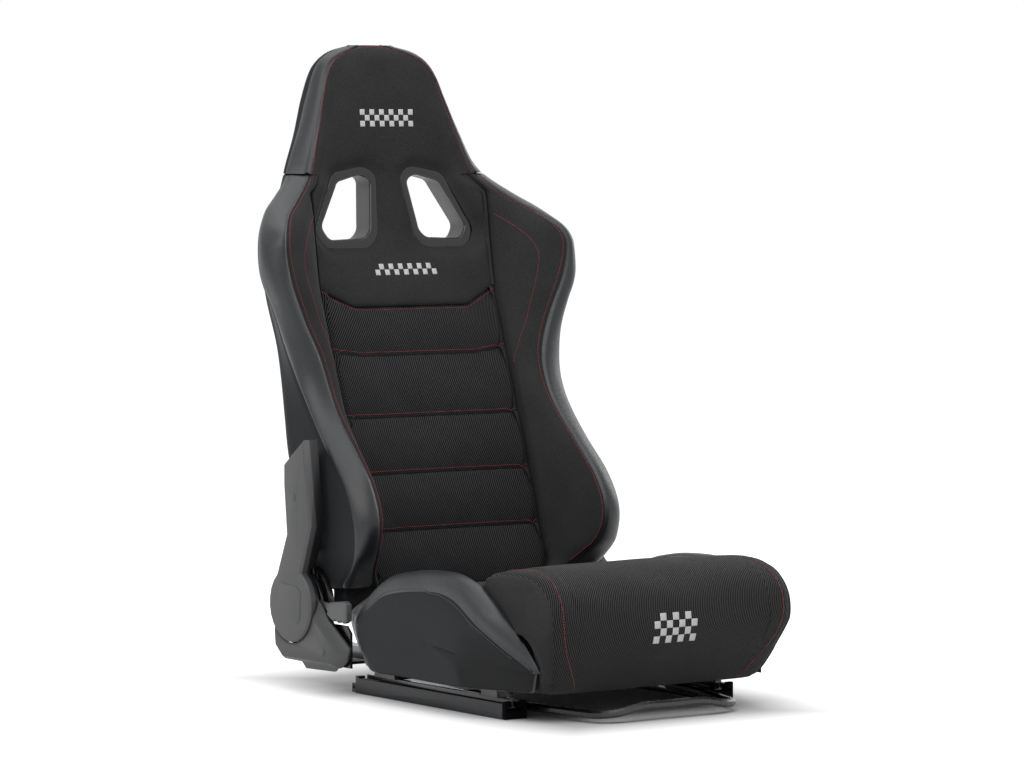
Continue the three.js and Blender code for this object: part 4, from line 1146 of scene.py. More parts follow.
def ripple(u: np.ndarray, v: np.ndarray, across: float, along: float, seed: float) -> np.ndarray:
    """Soft uneven folds between -1 and 1, longer along v than across it, all in millimetres."""
    total = np.zeros_like(u)
    for k in range(1, 5):
        phase = seed * k * 1.7
        lean = math.sin(seed + k) * 0.35
        total += np.sin(math.tau * (u / (across * (0.6 + 0.35 * k)) + lean * v / along) + phase) \
            * np.sin(math.tau * v / (along * (0.5 + 0.3 * k)) + 2.1 * phase)
    return total / 2.6


@dataclass(frozen=True)
class Columns:
    """Numbers of the points in a section at which its covers change.

    Attributes:
        stitch: outer row of stitches.
        seam: where the leather starts.
        edge: where the leather ends and the side panel starts.
        back: where the side panel ends.
    """

    stitch: int
    seam: int
    edge: int
    back: int


@dataclass
class Slot:
    """Outer edge and depth of a harness slot's bezel for the occupant's left, in millimetres."""

    outline: tuple = ((33, 648), (50, 632), (125, 632), (141, 656), (97, 740), (42, 750), (22, 738))
    middle: tuple[float, float] = (76.0, 690.0)
    rim: float = 11.0
    lap: float = 2.2  # how far the bezel reaches over the cloth, and over the slot
    front_y: float = 547.0
    bottom: float = 632.0
    lean: float = 0.235
    depth: float = 6.0

    def edge(self, inset: float, radius: float = 11.0) -> np.ndarray:
        """Rounded outline drawn in by an amount, as points in x and z."""
        soft = rounded(self.outline, radius)
        away = soft - self.middle
        return self.middle + away * (1 - inset / np.linalg.norm(away, axis=1, keepdims=True))

    def front(self, z: Any) -> Any:
        """y of the bezel's front at a height."""
        return self.front_y + self.lean * (z - self.bottom)

    def ring(self, section: Sequence[tuple[float, float]]) -> np.ndarray:
        """Closed band round the slot.

        Args:
            section: points of the band's section as inset and depth behind the front.

        Returns:
            Sections x outline points x 3.
        """
        made = []
        for inset, depth in section:
            edge = self.edge(inset)
            made.append(np.column_stack([edge[:, 0], self.front(edge[:, 1]) + depth, edge[:, 1]]))
        return np.array(made)


@dataclass
class Backrest:
    """Upholstered back with its headrest, wings, harness slots and rear panel."""

    wardrobe: Wardrobe
    form: BackForm = field(default_factory=BackForm)
    slot: Slot = field(default_factory=Slot)
    channels: tuple[float, ...] = (225.0, 306.0, 387.0, 476.0)
    chevron: float = 547.0
    channel_depth: float = 8.5
    step: float = 4.0
    leather_margin: float = 4.0  # leather starts this far outside the stitches
    tuck: float = 2.0  # how far a wing's top runs on under the head's lower edge
    swell_cap: float = 0.005
    front_points: int = 61  # points across the centre's front
    seam_gap: float = 0.4
    tail_bottom: float = 103.0  # the centre's lower end, which tucks in behind the cushion
    tail_half: float = 149.5
    tail_rear: float = 410.0
    head_middle: int = 29  # points from the middle of the head's front to its seam
    head_rear: int = 14
    panel_top: float = 897.0  # below it the rear of the head is set back for the rear panel
    panel_recess: float = 5.5
    cut: tuple[float, float] = (480.0, 700.0)  # y at which the slots' cutters start and end
    slot_reach: float = 22.0  # how far round a slot the cloth is drawn in

    def build(self, upholsterer: Upholsterer) -> None:
        """Makes the pads and hands them to the upholsterer.

        Args:
            upholsterer: swells the pads later.
        """
        self.centre = self._centre(upholsterer)
        self.head = self._head(upholsterer)
        self.wing = self._wing(upholsterer)

    def _ring_pad(self, name: str, loft: Loft, upholsterer: Upholsterer, *finishes: str) -> bpy.types.Object:
        """Makes a pad from its loft and hands it to the upholsterer."""
        pad = self.wardrobe.dress(link(name, loft.mesh(name)), *finishes)
        upholsterer.add(pad, loft.held, self.swell_cap)
        return pad

    def _centre_ring(self, z: float) -> np.ndarray:
        """Section of the centre at a level: the front from side to side, then round its back."""
        in_tail = z < BACK_BOTTOM
        front = self.form.front(z, 2 * gather(self.front_points) - 1)
        front[:, 0] *= (self.tail_half if in_tail else SEAM_X - self.seam_gap) / SEAM_X
        rear_y = self.tail_rear if in_tail else self.form.room_y(front[0, 2])
        corner = front[-1] * (1, 0, 1) + (0, rear_y, 0)
        wall = front[-1] + np.linspace(0, 1, 7)[1:, None] * (corner - front[-1])
        inner = np.linspace(corner, corner * (-1, 1, 1), 12)[1:-1]
        return np.vstack([front, wall, inner, wall[::-1] * (-1, 1, 1)])

    def _centre(self, upholsterer: Upholsterer) -> bpy.types.Object:
        """Ribbed centre of the back, with sewn channels and the end that tucks behind the cushion."""
        shown = self.front_points
        levels = np.r_[np.arange(self.tail_bottom, BACK_BOTTOM, self.step), self._channel_levels()]
        rings = np.array([self._centre_ring(z) for z in levels])
        held = np.ones(rings.shape[:2])
        held[:, :shown] = 0.0
        loft = Loft(rings, np.zeros(held.shape, int), held, zero=shown // 2)
        reach = loft.around()[:, :shown]
        edge = np.minimum(reach[:, -1:] - reach, reach - reach[:, :1])
        amount = np.zeros(held.shape)
        amount[:, :shown] = groove(edge, 5.0, 5.0) - self._channel_dip(levels)[:, None]
        folds = ripple(reach, loft.along()[:, :shown], 46, 60, 0.7)
        amount[:, :shown] += 1.1 * folds * np.clip(edge / 20, 0, 1)
        loft.swell(amount)
        held[:, :shown] = np.where(edge < 1.5, 1.0, held[:, :shown])
        held[self._near_channel(levels, 1.5)] = 1.0
        held[levels < BACK_BOTTOM + 2] = 1.0
        held[-2:] = 1.0
        loft.held = held
        pad = self._ring_pad("back_centre", loft, upholsterer, "back_mesh_cloth")
        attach(pad, "backrest")
        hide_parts("back_centre_pad")
        return pad

    def _channel_levels(self) -> np.ndarray:
        """Levels of the centre, close together at each channel."""
        lines = [BACK_BOTTOM, *self.channels, self.chevron - 0.5]
        parts = [low + (high - low) * gather(21)[:-1] for low, high in zip(lines, lines[1:])]
        return np.r_[np.concatenate(parts), lines[-1]]

    def _channel_dip(self, levels: np.ndarray) -> np.ndarray:
        """How deep the centre dips at each level because of the channels."""
        lines = np.array([BACK_BOTTOM, *self.channels, self.chevron])
        block = np.clip(np.searchsorted(lines, levels, side="right") - 1, 0, len(lines) - 2)
        t = np.clip((levels - lines[block]) / (lines[block + 1] - lines[block]), 0, 1)
        return self.channel_depth * (1 - np.sin(np.pi * t) ** 0.5)

    def _near_channel(self, levels: np.ndarray, reach: float) -> np.ndarray:
        """Which levels lie at a channel."""
        return np.min(np.abs(levels[:, None] - np.array(self.channels)), axis=1) < reach

    def _wing_levels(self) -> np.ndarray:
        """Levels of a wing, close together at its ends."""
        body = np.arange(BACK_BOTTOM + 6, SHOULDER_TOP - 5, self.step)
        tail = (110, 112, 116, 122, 130, 138, 145)
        return np.r_[tail, BACK_BOTTOM, BACK_BOTTOM + 1.5, BACK_BOTTOM + 3.5, body, SHOULDER_TOP - 3,
                     SHOULDER_TOP - 1.2, SHOULDER_TOP, SHOULDER_TOP + self.tuck]

    @staticmethod
    def _tucked(ring: np.ndarray, z: float) -> np.ndarray:
        """Draws a wing's lowest section in to the end that goes down beside the cushion."""
        front = Profile((110, 392), (116, 383), (130, 378), (145, 378))(z)
        inset = Profile((110, 6), (116, 1), (122, 0))(z)
        x = np.clip(ring[:, 0], SEAM_X + 2 + inset, 205 - inset)
        return np.column_stack([x, np.clip(ring[:, 1], front, 408 - inset), np.full(len(ring), z)])

    def _wing_ring(self, level: float, shares: Sequence[np.ndarray]) -> np.ndarray:
        """Section of the left wing at a level.

        Args:
            level: its height.
            shares: where the points lie across the cloth, the leather and the side panel.

        Returns:
            Points x 3, from the centre's seam round the outside and back.
        """
        form, z = self.form, max(level, BACK_BOTTOM)
        front = [make(z, share) for make, share in zip((form.cloth, form.leather, form.side), shares)]
        seam, last = front[0][0], front[-1][-1]
        rim_x = form.rear_x(z) - form.rim(z)
        corner, inner = np.array([rim_x, form.rear_y(z), z]), np.array([rim_x, form.room_y(z), z])
        foot = np.array([seam[0], form.room_y(z), z])
        walls = [a + np.linspace(0, 1, n)[1:, None] * (b - a)
                 for a, b, n in ((last, corner, 4), (corner, inner, 5), (inner, foot, 5), (foot, seam, 6))]
        ring = np.vstack([*front, *walls])[:-1]
        return ring if level >= BACK_BOTTOM else self._tucked(ring, level)

    def _wing_swell(self, loft: Loft, levels: np.ndarray, at: Columns) -> np.ndarray:
        """How far each point of a wing moves out: seams, folds of the covers and rounded ends."""
        reach, up = loft.around(), loft.along()
        columns = np.arange(reach.shape[1])
        to_seam, to_edge, to_start = (off_column(reach, column) for column in (at.seam, at.edge, 0))
        amount = groove(to_seam, 2.6, 3.0) + groove(to_edge, 1.8, 3.5) + groove(to_start, 4.5, 5.0)
        in_leather = (columns > at.seam) & (columns < at.edge)
        fade = np.clip(np.minimum(to_seam, to_edge) / 14, 0, 1)
        off_stitch = reach - reach[:, at.stitch:at.stitch + 1]
        amount += 1.5 * in_leather * fade * ripple(off_stitch, up, 46, 210, 2.3)
        cloth_fade = np.clip(to_start / 20, 0, 1)
        amount += 0.7 * (columns < at.stitch) * cloth_fade * ripple(reach, up, 60, 90, 4.1)
        from_bottom = np.clip((levels - BACK_BOTTOM) / 10, 0, 1)
        from_top = np.clip((SHOULDER_TOP + self.tuck - levels) / 7, 0, 1)
        drop = end_drop(np.minimum(from_bottom, from_top), np.where(levels < 300, 9.0, 3.0))
        amount -= drop[:, None]
        amount[:, at.back + 1:] = 0.0
        amount[levels < BACK_BOTTOM] = 0.0
        return amount

    def _wing(self, upholsterer: Upholsterer) -> bpy.types.Object:
        """Wing on the occupant's left: cloth face, leather edge and smooth side."""
        shares = gather(26), gather(34)[1:], np.linspace(0, 1, 17)[1:]
        stitch, edge, back = np.cumsum([len(share) for share in shares]) - 1
        levels = self._wing_levels()
        rings = np.array([self._wing_ring(level, shares) for level in levels])
        rings[:, 0, 0] += self.seam_gap
        loft = Loft(rings, np.full(rings.shape[:2], Cover.VINYL.value), np.ones(rings.shape[:2]))
        reach = loft.around()
        beyond = np.median(reach - reach[:, stitch:stitch + 1], axis=0) > self.leather_margin
        seam = int(np.argmax(beyond))
        loft.regions[:, :seam] = Cover.CLOTH.value
        loft.regions[:, seam:edge] = Cover.LEATHER.value
        loft.regions[levels < BACK_BOTTOM] = Cover.CLOTH.value
        loft.swell(self._wing_swell(loft, levels, Columns(stitch, seam, edge, back)))
        loft.held[:, 1:back - 4] = 0.0
        loft.held[levels < BACK_BOTTOM + 4] = 1.0
        loft.held[(off_column(reach, seam) < 2.0) | (off_column(reach, edge) < 2.0)] = 1.0
        loft.held[:, :2] = 1.0
        loft.held[-3:] = 1.0
        return self._ring_pad("wing_left", loft, upholsterer, *COVERS)

    def _head_levels(self) -> np.ndarray:
        """Levels of the head piece, close together at its lower edge, its joint and its top."""
        lower = self.chevron + 0.4 + np.array([0, 1.0, 2.5])
        below, above = np.arange(553.0, 737.0, self.step), np.arange(747.0, 915.0, self.step)
        joint, top = (738.4, 739.0, 740.6, 743.0), (917, 920, 922.5, 924.5, 926.5, 928, 929.2)
        return np.r_[lower, below, joint, above, top, HEAD_TOP]

    def _head_ring(self, z: float, shares: Sequence[np.ndarray]) -> np.ndarray:
        """Section of the head piece at a level.

        Args:
            z: its height.
            shares: where the points lie across the cloth, the leather and the side panel.

        Returns:
            Points x 3, from the middle of the front all the way round.
        """
        form, middle, rear = self.form, self.head_middle, self.head_rear
        front = form.front(z, gather(2 * middle - 1)[middle - 1:] * 2 - 1)
        if z < SHOULDER_TOP + 0.2:
            front[:, 0] *= 1 - self.seam_gap / form.seam_half(z)
            corner = np.array([front[-1, 0], form.room_y(z), front[-1, 2]])
            count = sum(len(share) for share in shares)
            wall = front[-1] + np.linspace(0, 1, count + 1)[1:, None] * (corner - front[-1])
            half = np.vstack([front, wall, np.linspace(corner, corner * (0, 1, 1), rear + 1)[1:]])
        else:
            parts = [make(z, share) for make, share in zip((form.cloth, form.leather, form.side), shares)]
            last = parts[-1][-1]
            tail = np.linspace(last, last * (0, 1, 1), rear + 1)[1:]
            if z < self.panel_top:
                rim = last[0] - (form.rear_x(z) - form.rim(z) - 0.3)
                tail[tail[:, 0] < last[0] - max(rim, 4.0) - 0.5, 1] -= self.panel_recess
            half = np.vstack([front, *parts, tail])
        return np.vstack([half, half[-2:0:-1] * (-1, 1, 1)])

    def _head(self, upholsterer: Upholsterer) -> bpy.types.Object:
        """Headrest in one piece with the plain upper centre of the back."""
        middle, shares = self.head_middle, (gather(12)[1:], gather(22)[1:], np.linspace(0, 1, 13)[1:])
        stitch, edge, back = middle - 1 + np.cumsum([len(share) for share in shares])
        at = Columns(stitch, stitch + 3, edge, back)
        levels = self._head_levels()
        shown = levels[:, None] >= SHOULDER_TOP
        rings = np.array([self._head_ring(z, shares) for z in levels])
        count = rings.shape[1]
        columns, after = np.arange(count), (np.arange(count) + 1) % count
        fold = np.minimum(columns, count - columns)
        fold_face = np.maximum(fold, np.minimum(after, count - after))
        loft = Loft(rings, np.full(rings.shape[:2], Cover.CLOTH.value), np.ones(rings.shape[:2]))
        loft.regions[(fold_face > at.seam) & shown] = Cover.LEATHER.value
        loft.regions[(fold_face > at.edge) & shown] = Cover.VINYL.value
        around = loft.around()
        reach = np.abs(np.where(columns <= back + self.head_rear, around, around[:, -1:] + 1 - around))
        loft.swell(self._head_swell(loft.along(), reach, fold, levels, at))
        self._sink_slots(loft, fold, middle)
        held = np.where(shown, fold > at.back - 4, fold >= middle - 2).astype(float)
        for column in (at.seam, at.edge):
            held[(off_column(reach, column) < 1.8) & shown] = 1.0
        held[:3] = held[-8:] = 1.0
        held[np.abs(levels - SHOULDER_TOP) < 5] = np.where(fold > middle - 3, 1.0, 0.0)
        loft.held = np.where(self._slot_share(loft.rings) > 0.3, 1.0, held)
        pad = self._ring_pad("headrest", loft, upholsterer, *COVERS)
        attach(pad, "backrest")
        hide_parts("headrest_pad")
        return pad

    def _head_swell(
        self, up: np.ndarray, reach: np.ndarray, fold: np.ndarray, levels: np.ndarray, at: Columns
    ) -> np.ndarray:
        """How far each point of the head piece moves out: seams, folds and rounded edges.

        Args:
            up: distance of each point along the levels.
            reach: distance of each point from the middle of the front.
            fold: column of each point, counted from the front's middle on either side.
            levels: height of each section.
            at: where the covers change.

        Returns:
            Millimetres, levels x points.
        """
        middle, shown = self.head_middle, levels[:, None] >= SHOULDER_TOP
        to_seam, to_edge, to_side = (off_column(reach, column) for column in (at.seam, at.edge, middle - 1))
        out = reach - reach[:, at.stitch:at.stitch + 1]
        amount = np.where(shown, groove(to_seam, 2.4, 3.0) + groove(to_edge, 1.6, 3.0), 0.0)
        amount += np.where(shown | (fold > middle - 1), 0.0, groove(to_side, 4.5, 5.0))
        ends = np.clip((levels - self.chevron - 0.4) / 9, 0, 1)
        amount -= np.where(fold < middle, end_drop(ends, 5.5)[:, None], 0.0)
        joint = np.clip(np.abs(levels - SHOULDER_TOP) / 5, 0, 1)
        amount -= np.where((fold > at.stitch) & shown, end_drop(joint, 2.4)[:, None], 0)
        soft = np.where(shown, fold < at.seam, fold < middle - 1)
        below_top = np.clip((HEAD_TOP - levels) / 60, 0, 1)[:, None]
        amount += 0.9 * soft * ripple(out, up, 80, 110, 1.9) * below_top
        strip = (fold > at.seam) & (fold < at.edge) & shown
        strip_fade = np.clip(np.minimum(to_seam, to_edge) / 10, 0, 1)
        amount += 0.9 * strip * ripple(out, up, 50, 120, 5.2) * strip_fade
        amount[:, fold > at.back] = 0.0
        return amount

    def _slot_share(self, rings: np.ndarray) -> np.ndarray:
        """1 inside either harness slot, falling to 0 within about the slots' reach outside it."""
        flat = np.stack([np.abs(rings[..., 0]), rings[..., 2]], axis=-1)
        away = np.maximum(outline_distance(self.slot.edge(0.0), flat), 0.0)
        return np.exp(-((away / (self.slot_reach * 0.55)) ** 2))

    def _sink_slots(self, loft: Loft, fold: np.ndarray, middle: int) -> None:
        """Draws the cloth round each harness slot back to the bezel's face."""
        share = self._slot_share(loft.rings) * (fold < middle)
        target = self.slot.front(loft.rings[..., 2]) + 0.6
        loft.rings[..., 1] += share * (target - loft.rings[..., 1])

    def finish(self) -> None:
        """Cuts the slots, mirrors the wing and adds everything that is fitted or sewn on."""
        self._cut_slots()
        left = self.wing
        right = link("wing_right", mirrored(left.data, "wing_right"))
        for wing, side in ((left, LEFT), (right, RIGHT)):
            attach(wing, "backrest")
            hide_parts(f"back_wing_{SIDE_NAMES[side]}")
        self.wings = {LEFT: left, RIGHT: right}
        for side in (RIGHT, LEFT):
            self._bezel(side)
            self._sleeve(side)
        self._stitching()
        self._motifs()

    def _cut_slots(self) -> None:
        """Cuts both harness slots through the upper centre."""
        edge = self.slot.edge(-0.3)
        for side in (RIGHT, LEFT):
            rings = np.array([np.column_stack([edge[:, 0] * side, np.full(len(edge), y), edge[:, 1]])
                              for y in self.cut])
            shape = Loft(rings, np.zeros(rings.shape[:2], int), np.ones(rings.shape[:2]))
            cutter = link("slot_cutter", tidy_mesh(shape.mesh("slot_cutter")))
            modifier = self.head.modifiers.new("Slot", "BOOLEAN")
            modifier.operation = "DIFFERENCE"
            modifier.solver = "MANIFOLD"
            modifier.object = cutter
            graph = bpy.context.evaluated_depsgraph_get()
            mesh = bpy.data.meshes.new_from_object(self.head.evaluated_get(graph))
            self.head.modifiers.clear()
            self.head.data = mesh
            bpy.data.objects.remove(cutter)
        self.wardrobe.dress(self.head, *COVERS)

    def _band(
        self, name: str, side: int, section: Sequence[tuple[float, float]], finish: str
    ) -> bpy.types.Object:
        """A closed band of one section round a harness slot."""
        rings = self.slot.ring(section) * (side, 1, 1)
        count, points, _ = rings.shape
        index = np.arange(count * points).reshape(count, points)
        below, after = np.roll(index, -1, axis=0), np.roll(index, -1, axis=1)
        quads = np.stack([index, after, np.roll(after, -1, axis=0), below], axis=-1).reshape(-1, 4)
        mesh = bpy.data.meshes.new(name)
        mesh.from_pydata(place(rings.reshape(-1, 3)).tolist(), [], quads.tolist())
        piece = self.wardrobe.dress(link(name, tidy_mesh(mesh, 50.0)), finish)
        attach(piece, "backrest")
        return piece

    def _bezel(self, side: int) -> None:
        """Glossy ring round the front of a harness slot."""
        rim, lap, depth = self.slot.rim + self.slot.lap, self.slot.lap, self.slot.depth
        section = [
            (0.3, depth), (0.2, 3.6), (0.1 - lap, 3.4), (-lap, 2.2), (0.4 - lap, 1.0), (1.2 - lap, 0.3),
            (2.4 - lap, 0.0), (rim - 2.6, 0.2), (rim - 1.2, 0.7), (rim - 0.4, 1.6), (rim - 0.1, 2.8),
            (rim, 3.6), (self.slot.rim, depth),
        ]
        name = f"harness_bezel_{SIDE_NAMES[side]}"
        piece = self._band(name.replace("harness_", "slot_"), side, section, "gloss_plastic")
        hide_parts(name)

    def _sleeve(self, side: int) -> None:
        """Grey sleeve through a harness slot, with its flange on the rear panel."""
        rim = self.slot.rim
        back = self.form.rear_y(self.slot.middle[1]) - self.slot.front(self.slot.middle[1])
        section = [
            (rim - 2.6, self.slot.depth + 0.5), (rim, self.slot.depth + 0.5), (rim, back + 5.0),
            (rim - 1.0, back + 6.0), (-5.0, back + 6.0), (-6.0, back + 5.0), (-6.0, back + 3.0),
            (rim - 2.6, back + 3.0),
        ]
        name = f"harness_sleeve_{SIDE_NAMES[side]}"
        piece = self._band(name.replace("harness_", "slot_"), side, section, "sleeve_plastic")
        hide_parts(name)

    def _stitching(self) -> None:
        """Crimson stitches along the seams of the back."""
        form = self.form
        thread = self.wardrobe["crimson_thread"]
        wings = {side: surface_tree(wing) for side, wing in self.wings.items()}
        head_tree, centre_tree = surface_tree(self.head), surface_tree(self.centre)
        wing_z = np.arange(172.0, SHOULDER_TOP - 3, 3.0)
        outer = place(np.array([form.stitch(z) for z in wing_z]))
        inner = place(smooth_path([
            (161, 526, 678), (171, 520, 672), (189, 507, 658), (203, 494, 643), (210, 486, 627),
            (211, 482, 611), (205, 481, 580), (194, 479, 548), (184, 478, 517), (177, 476, 503),
            (166, 474, 478), (159, 473, 460),
        ], 90))
        rows = [on_surface(wings[side], row * (side, 1, 1))
                for row in (outer, inner) for side in (LEFT, RIGHT)]
        head_z = np.r_[np.arange(SHOULDER_TOP + 3, 912, 3.0), 914, 917, 920, 922]
        over_top = [(22.0, 612.0, 925.0), (0.0, 613.0, 926.0)]
        half = place([*(form.stitch(z) for z in head_z), *over_top])
        arch = np.vstack([half, half[-2::-1] * (-1, 1, 1)])
        rows.append(on_surface(head_tree, arch))
        self._ride_stitches("seam_stitches", rows, thread)
        lines = []
        for z in (*self.channels, self.chevron - 3.2):
            across = form.front(z + 3.2 if z < self.chevron - 4 else z, np.linspace(-0.985, 0.985, 140))
            lines.append(on_surface(centre_tree, place(across)))
        self._ride_stitches("channel_stitches", lines, thread)

    def _ride_stitches(self, name: str, rows: list[np.ndarray], thread: bpy.types.Material) -> None:
        """Lays rows of stitches that move with the back."""
        piece = Repeater.stitches(name, rows, thread)
        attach(piece, "backrest")

    def _motifs(self) -> None:
        """Plain chequered embroidery on the headrest and under the harness slots."""
        head = Embroidery("headrest_chequer", middle=(0.0, 822.0), columns=11, rows=3, pitch=8.6)
        chest = Embroidery("chest_chequer", middle=(0.0, 599.0), columns=13, rows=2, pitch=8.4)
        for motif in (head, chest):
            piece = motif.build(surface_tree(self.head), self.wardrobe["white_thread"])
            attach(piece, "backrest")


@dataclass
class Embroidery:
    """A block of chequers in satin stitch on a surface that faces the front, in millimetres."""

    name: str
    middle: tuple[float, float]
    columns: int
    rows: int
    pitch: float
    from_y: float = -300.0
    raised: float = 0.55
    rim_raised: float = 0.15
    sunk: float = 0.4
    fill: float = 0.97  # side of a square in pitches
    cells: int = 6

    def build(self, tree: BVHTree, thread: bpy.types.Material) -> bpy.types.Object:
        """Lays every second square of the block on the surface.

        Args:
            tree: the surface.
            thread: finish of the squares.

        Returns:
            The squares as one mesh object.
        """
        work = bmesh.new()
        for column in range(self.columns):
            for row in range(self.rows):
                if (column + row) % 2 == 0:
                    x = self.middle[0] + (column - (self.columns - 1) / 2) * self.pitch
                    z = self.middle[1] + (row - (self.rows - 1) / 2) * self.pitch
                    self._square(work, tree, x, z)
        face_outwards(work)
        mesh = bpy.data.meshes.new(self.name)
        work.to_mesh(mesh)
        work.free()
        mesh.materials.append(thread)
        return link(self.name, mesh)

    def _square(self, work: bmesh.types.BMesh, tree: BVHTree, x: float, z: float) -> None:
        """Adds one raised square whose middle is at x and z."""
        half = self.pitch / 2 * self.fill
        ticks = np.linspace(-half, half, self.cells + 1)
        top, low = [], []
        for dz in ticks:
            for dx in ticks:
                start = Vector(place([x + dx, self.from_y, z + dz]))
                spot, normal, _, _ = tree.ray_cast(start, Vector((0, 1, 0)))
                rim = max(abs(dx), abs(dz)) > half * 0.99
                top.append(work.verts.new(spot + normal * (self.rim_raised if rim else self.raised) * MM))
                low.append(work.verts.new(spot - normal * self.sunk * MM))
        count = self.cells + 1
        for j in range(self.cells):
            for i in range(self.cells):
                a, b, c, d = (j * count + i, j * count + i + 1, (j + 1) * count + i + 1, (j + 1) * count + i)
                work.faces.new([top[a], top[b], top[c], top[d]])
                work.faces.new([low[d], low[c], low[b], low[a]])
        loop = [*range(count), *[k * count + self.cells for k in range(1, count)],
                *[self.cells * count + k for k in range(self.cells - 1, -1, -1)],
                *[k * count for k in range(self.cells - 1, 0, -1)]]
        for a, b in zip(loop, loop[1:] + loop[:1]):
            work.faces.new([top[b], top[a], low[a], low[b]])


# ---- cushion --------------------------------------------------------------------------------


@dataclass
class Cushion:
    """Seat cushion: centre with its front roll, and a bolster along each side."""

    wardrobe: Wardrobe
    half_width: float = 213.0
    pad_half: float = 165.5
    bottom: float = 74.0
    rear: float = 345.0
    roll_rear: float = 22.0
    bolster_outer: float = 246.0
    mesh_half: float = 204.0  # the ribbed cloth ends this far out on the roll
    roll_size: Profile = Profile((0, 1), (160, 1), (190, 0.985), (204, 0.94), (211, 0.86), (213, 0.76))
    bolster_tuck: float = 52.0  # how far the bolster's outer face draws in under its front corner
    swell_cap: float = 0.005
    bolster_cap: float = 0.004
    ridge_top: Profile = Profile(  # share of its size that the ridge has at a depth, by direction
        (0, 0.8), (3, 0.885), (10, 0.965), (24, 1.0), (41, 0.91), (66, 0.74), (79.2, 0.62))
    ridge_front: Profile = Profile(
        (0, 0.79), (3, 0.88), (10, 0.95), (24, 1.0), (41, 0.97), (66, 0.93), (79.2, 0.9))
    ridge_back: Profile = Profile(
        (0, 0.94), (3, 0.968), (10, 0.99), (24, 1.0), (41, 0.98), (66, 0.93), (79.2, 0.9))
    ridge_under: Profile = Profile((0, 0), (3, 0), (10, 6), (24, 34), (66, 34), (79.2, 30))

    def build(self, upholsterer: Upholsterer) -> None:
        """Makes the pads and hands them to the upholsterer."""
        self.centre = self._centre(upholsterer)
        self.bolster = self._bolster(upholsterer)

    @staticmethod
    def _taper(z: np.ndarray) -> np.ndarray:
        """Share of its full width that the front roll has at a height."""
        return 1 - 0.13 * np.clip((125 - z) / 80, 0, 1)

    def _section(self, station: float, outline: np.ndarray) -> tuple[np.ndarray, np.ndarray]:
        """Section of the cushion at one place across the seat.

        Args:
            station: the place.
            outline: y and z of the section in the middle.

        Returns:
            Points x 3, and which of them are held.
        """
        out = abs(station) / self.pad_half
        y, z = outline.T.copy()
        on_pad = y > self.roll_rear
        top = (y > -20) & (z > self.bottom + 20)
        crown = np.clip(4 * (1 - min(out, 1) ** 2) - 3 * out**6, -6, 6)
        lift = crown * np.clip((y - self.roll_rear) / 60, 0, 1)
        z = np.where(top & (y < 344), z + lift, z)
        if out > 1:
            top_pad = on_pad & (np.arange(len(outline)) < 120)
            low_pad = on_pad & ~top_pad
            y[on_pad] = self.roll_rear
            z[top_pad] = np.linspace(140, 199, top_pad.sum())
            z[low_pad] = np.linspace(78, 139, low_pad.sum())
        size = self.roll_size(abs(station))
        rolled_y = np.where(y < -43, -45 + (y + 45) * size, y)
        rolled_z = np.where(z > 80, 130 + (z - 130) * size, z + (1 - size) * 30)
        keep = on_pad & (out < 1)
        rolled_z = np.where(keep, z, rolled_z)
        x = station * np.where(keep, 1.0, self._taper(rolled_z))
        held = (rolled_z < 50) | (on_pad & (out > 1)) | (z <= self.bottom + 8)
        return np.column_stack([x, rolled_y, rolled_z]), held

    def _centre(self, upholsterer: Upholsterer) -> bpy.types.Object:
        """Cushion centre and front roll, as sections across the seat."""
        over = smooth_path([
            (345, 84), (345, 126), (334, 142), (300, 148), (200, 153), (110, 170), (40, 195), (-10, 206),
            (-58, 207), (-90, 200), (-114, 184), (-128, 162), (-131, 135), (-125, 108), (-112, 80), (-96, 54),
            (-80, 41), (-60, 39), (-45, 44), (-43, 60),
        ], 190)
        under = np.column_stack([np.linspace(-43, 345, 42)[1:-1], np.full(40, self.bottom)])
        outline = np.vstack([over, [[-43, self.bottom]], under, [[345, self.bottom]]])
        inner = np.r_[np.arange(0, 160, 5.0), 160, 163, 164.6, 165.3]
        outer = np.r_[165.7, np.arange(169, 203, 4.0), 204, 206, 208, 210, 211.4, 212.4, self.half_width]
        stations = np.r_[inner, outer]
        stations = np.r_[-stations[:0:-1], stations]
        rings, pinned = zip(*(self._section(station, outline) for station in stations))
        stations, rings, pinned = self._roll_ends(stations, list(rings), list(pinned))
        held = pinned.astype(float)
        loft = Loft(rings, np.zeros(held.shape, int), held, zero=60)
        outside = np.abs(stations) > self.mesh_half - 0.5
        loft.regions[outside & np.r_[outside[1:], True]] = Cover.LEATHER.value
        to_seam = np.abs(np.abs(stations) - self.mesh_half)[:, None] * np.ones(held.shape[1])
        front = rings[..., 1] < 30
        amount = np.where(front, groove(to_seam, 2.2, 3.0), 0.0)
        places = stations[:, None] * np.ones(held.shape[1])
        amount += np.where(front & (held < 0.5), 0.9, 0.0) * ripple(places, loft.around(), 150, 120, 3.3)
        loft.swell(amount)
        held[:2] = held[-2:] = 1.0
        held[to_seam < 1.5] = 1.0
        held[:, outline[:, 0] > 343] = 1.0
        pad = self.wardrobe.dress(link("cushion", loft.mesh("cushion")), "cushion_mesh_cloth", "fine_cloth")
        upholsterer.add(pad, held, self.swell_cap)
        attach(pad, "seat")
        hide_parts("cushion_centre")
        return pad

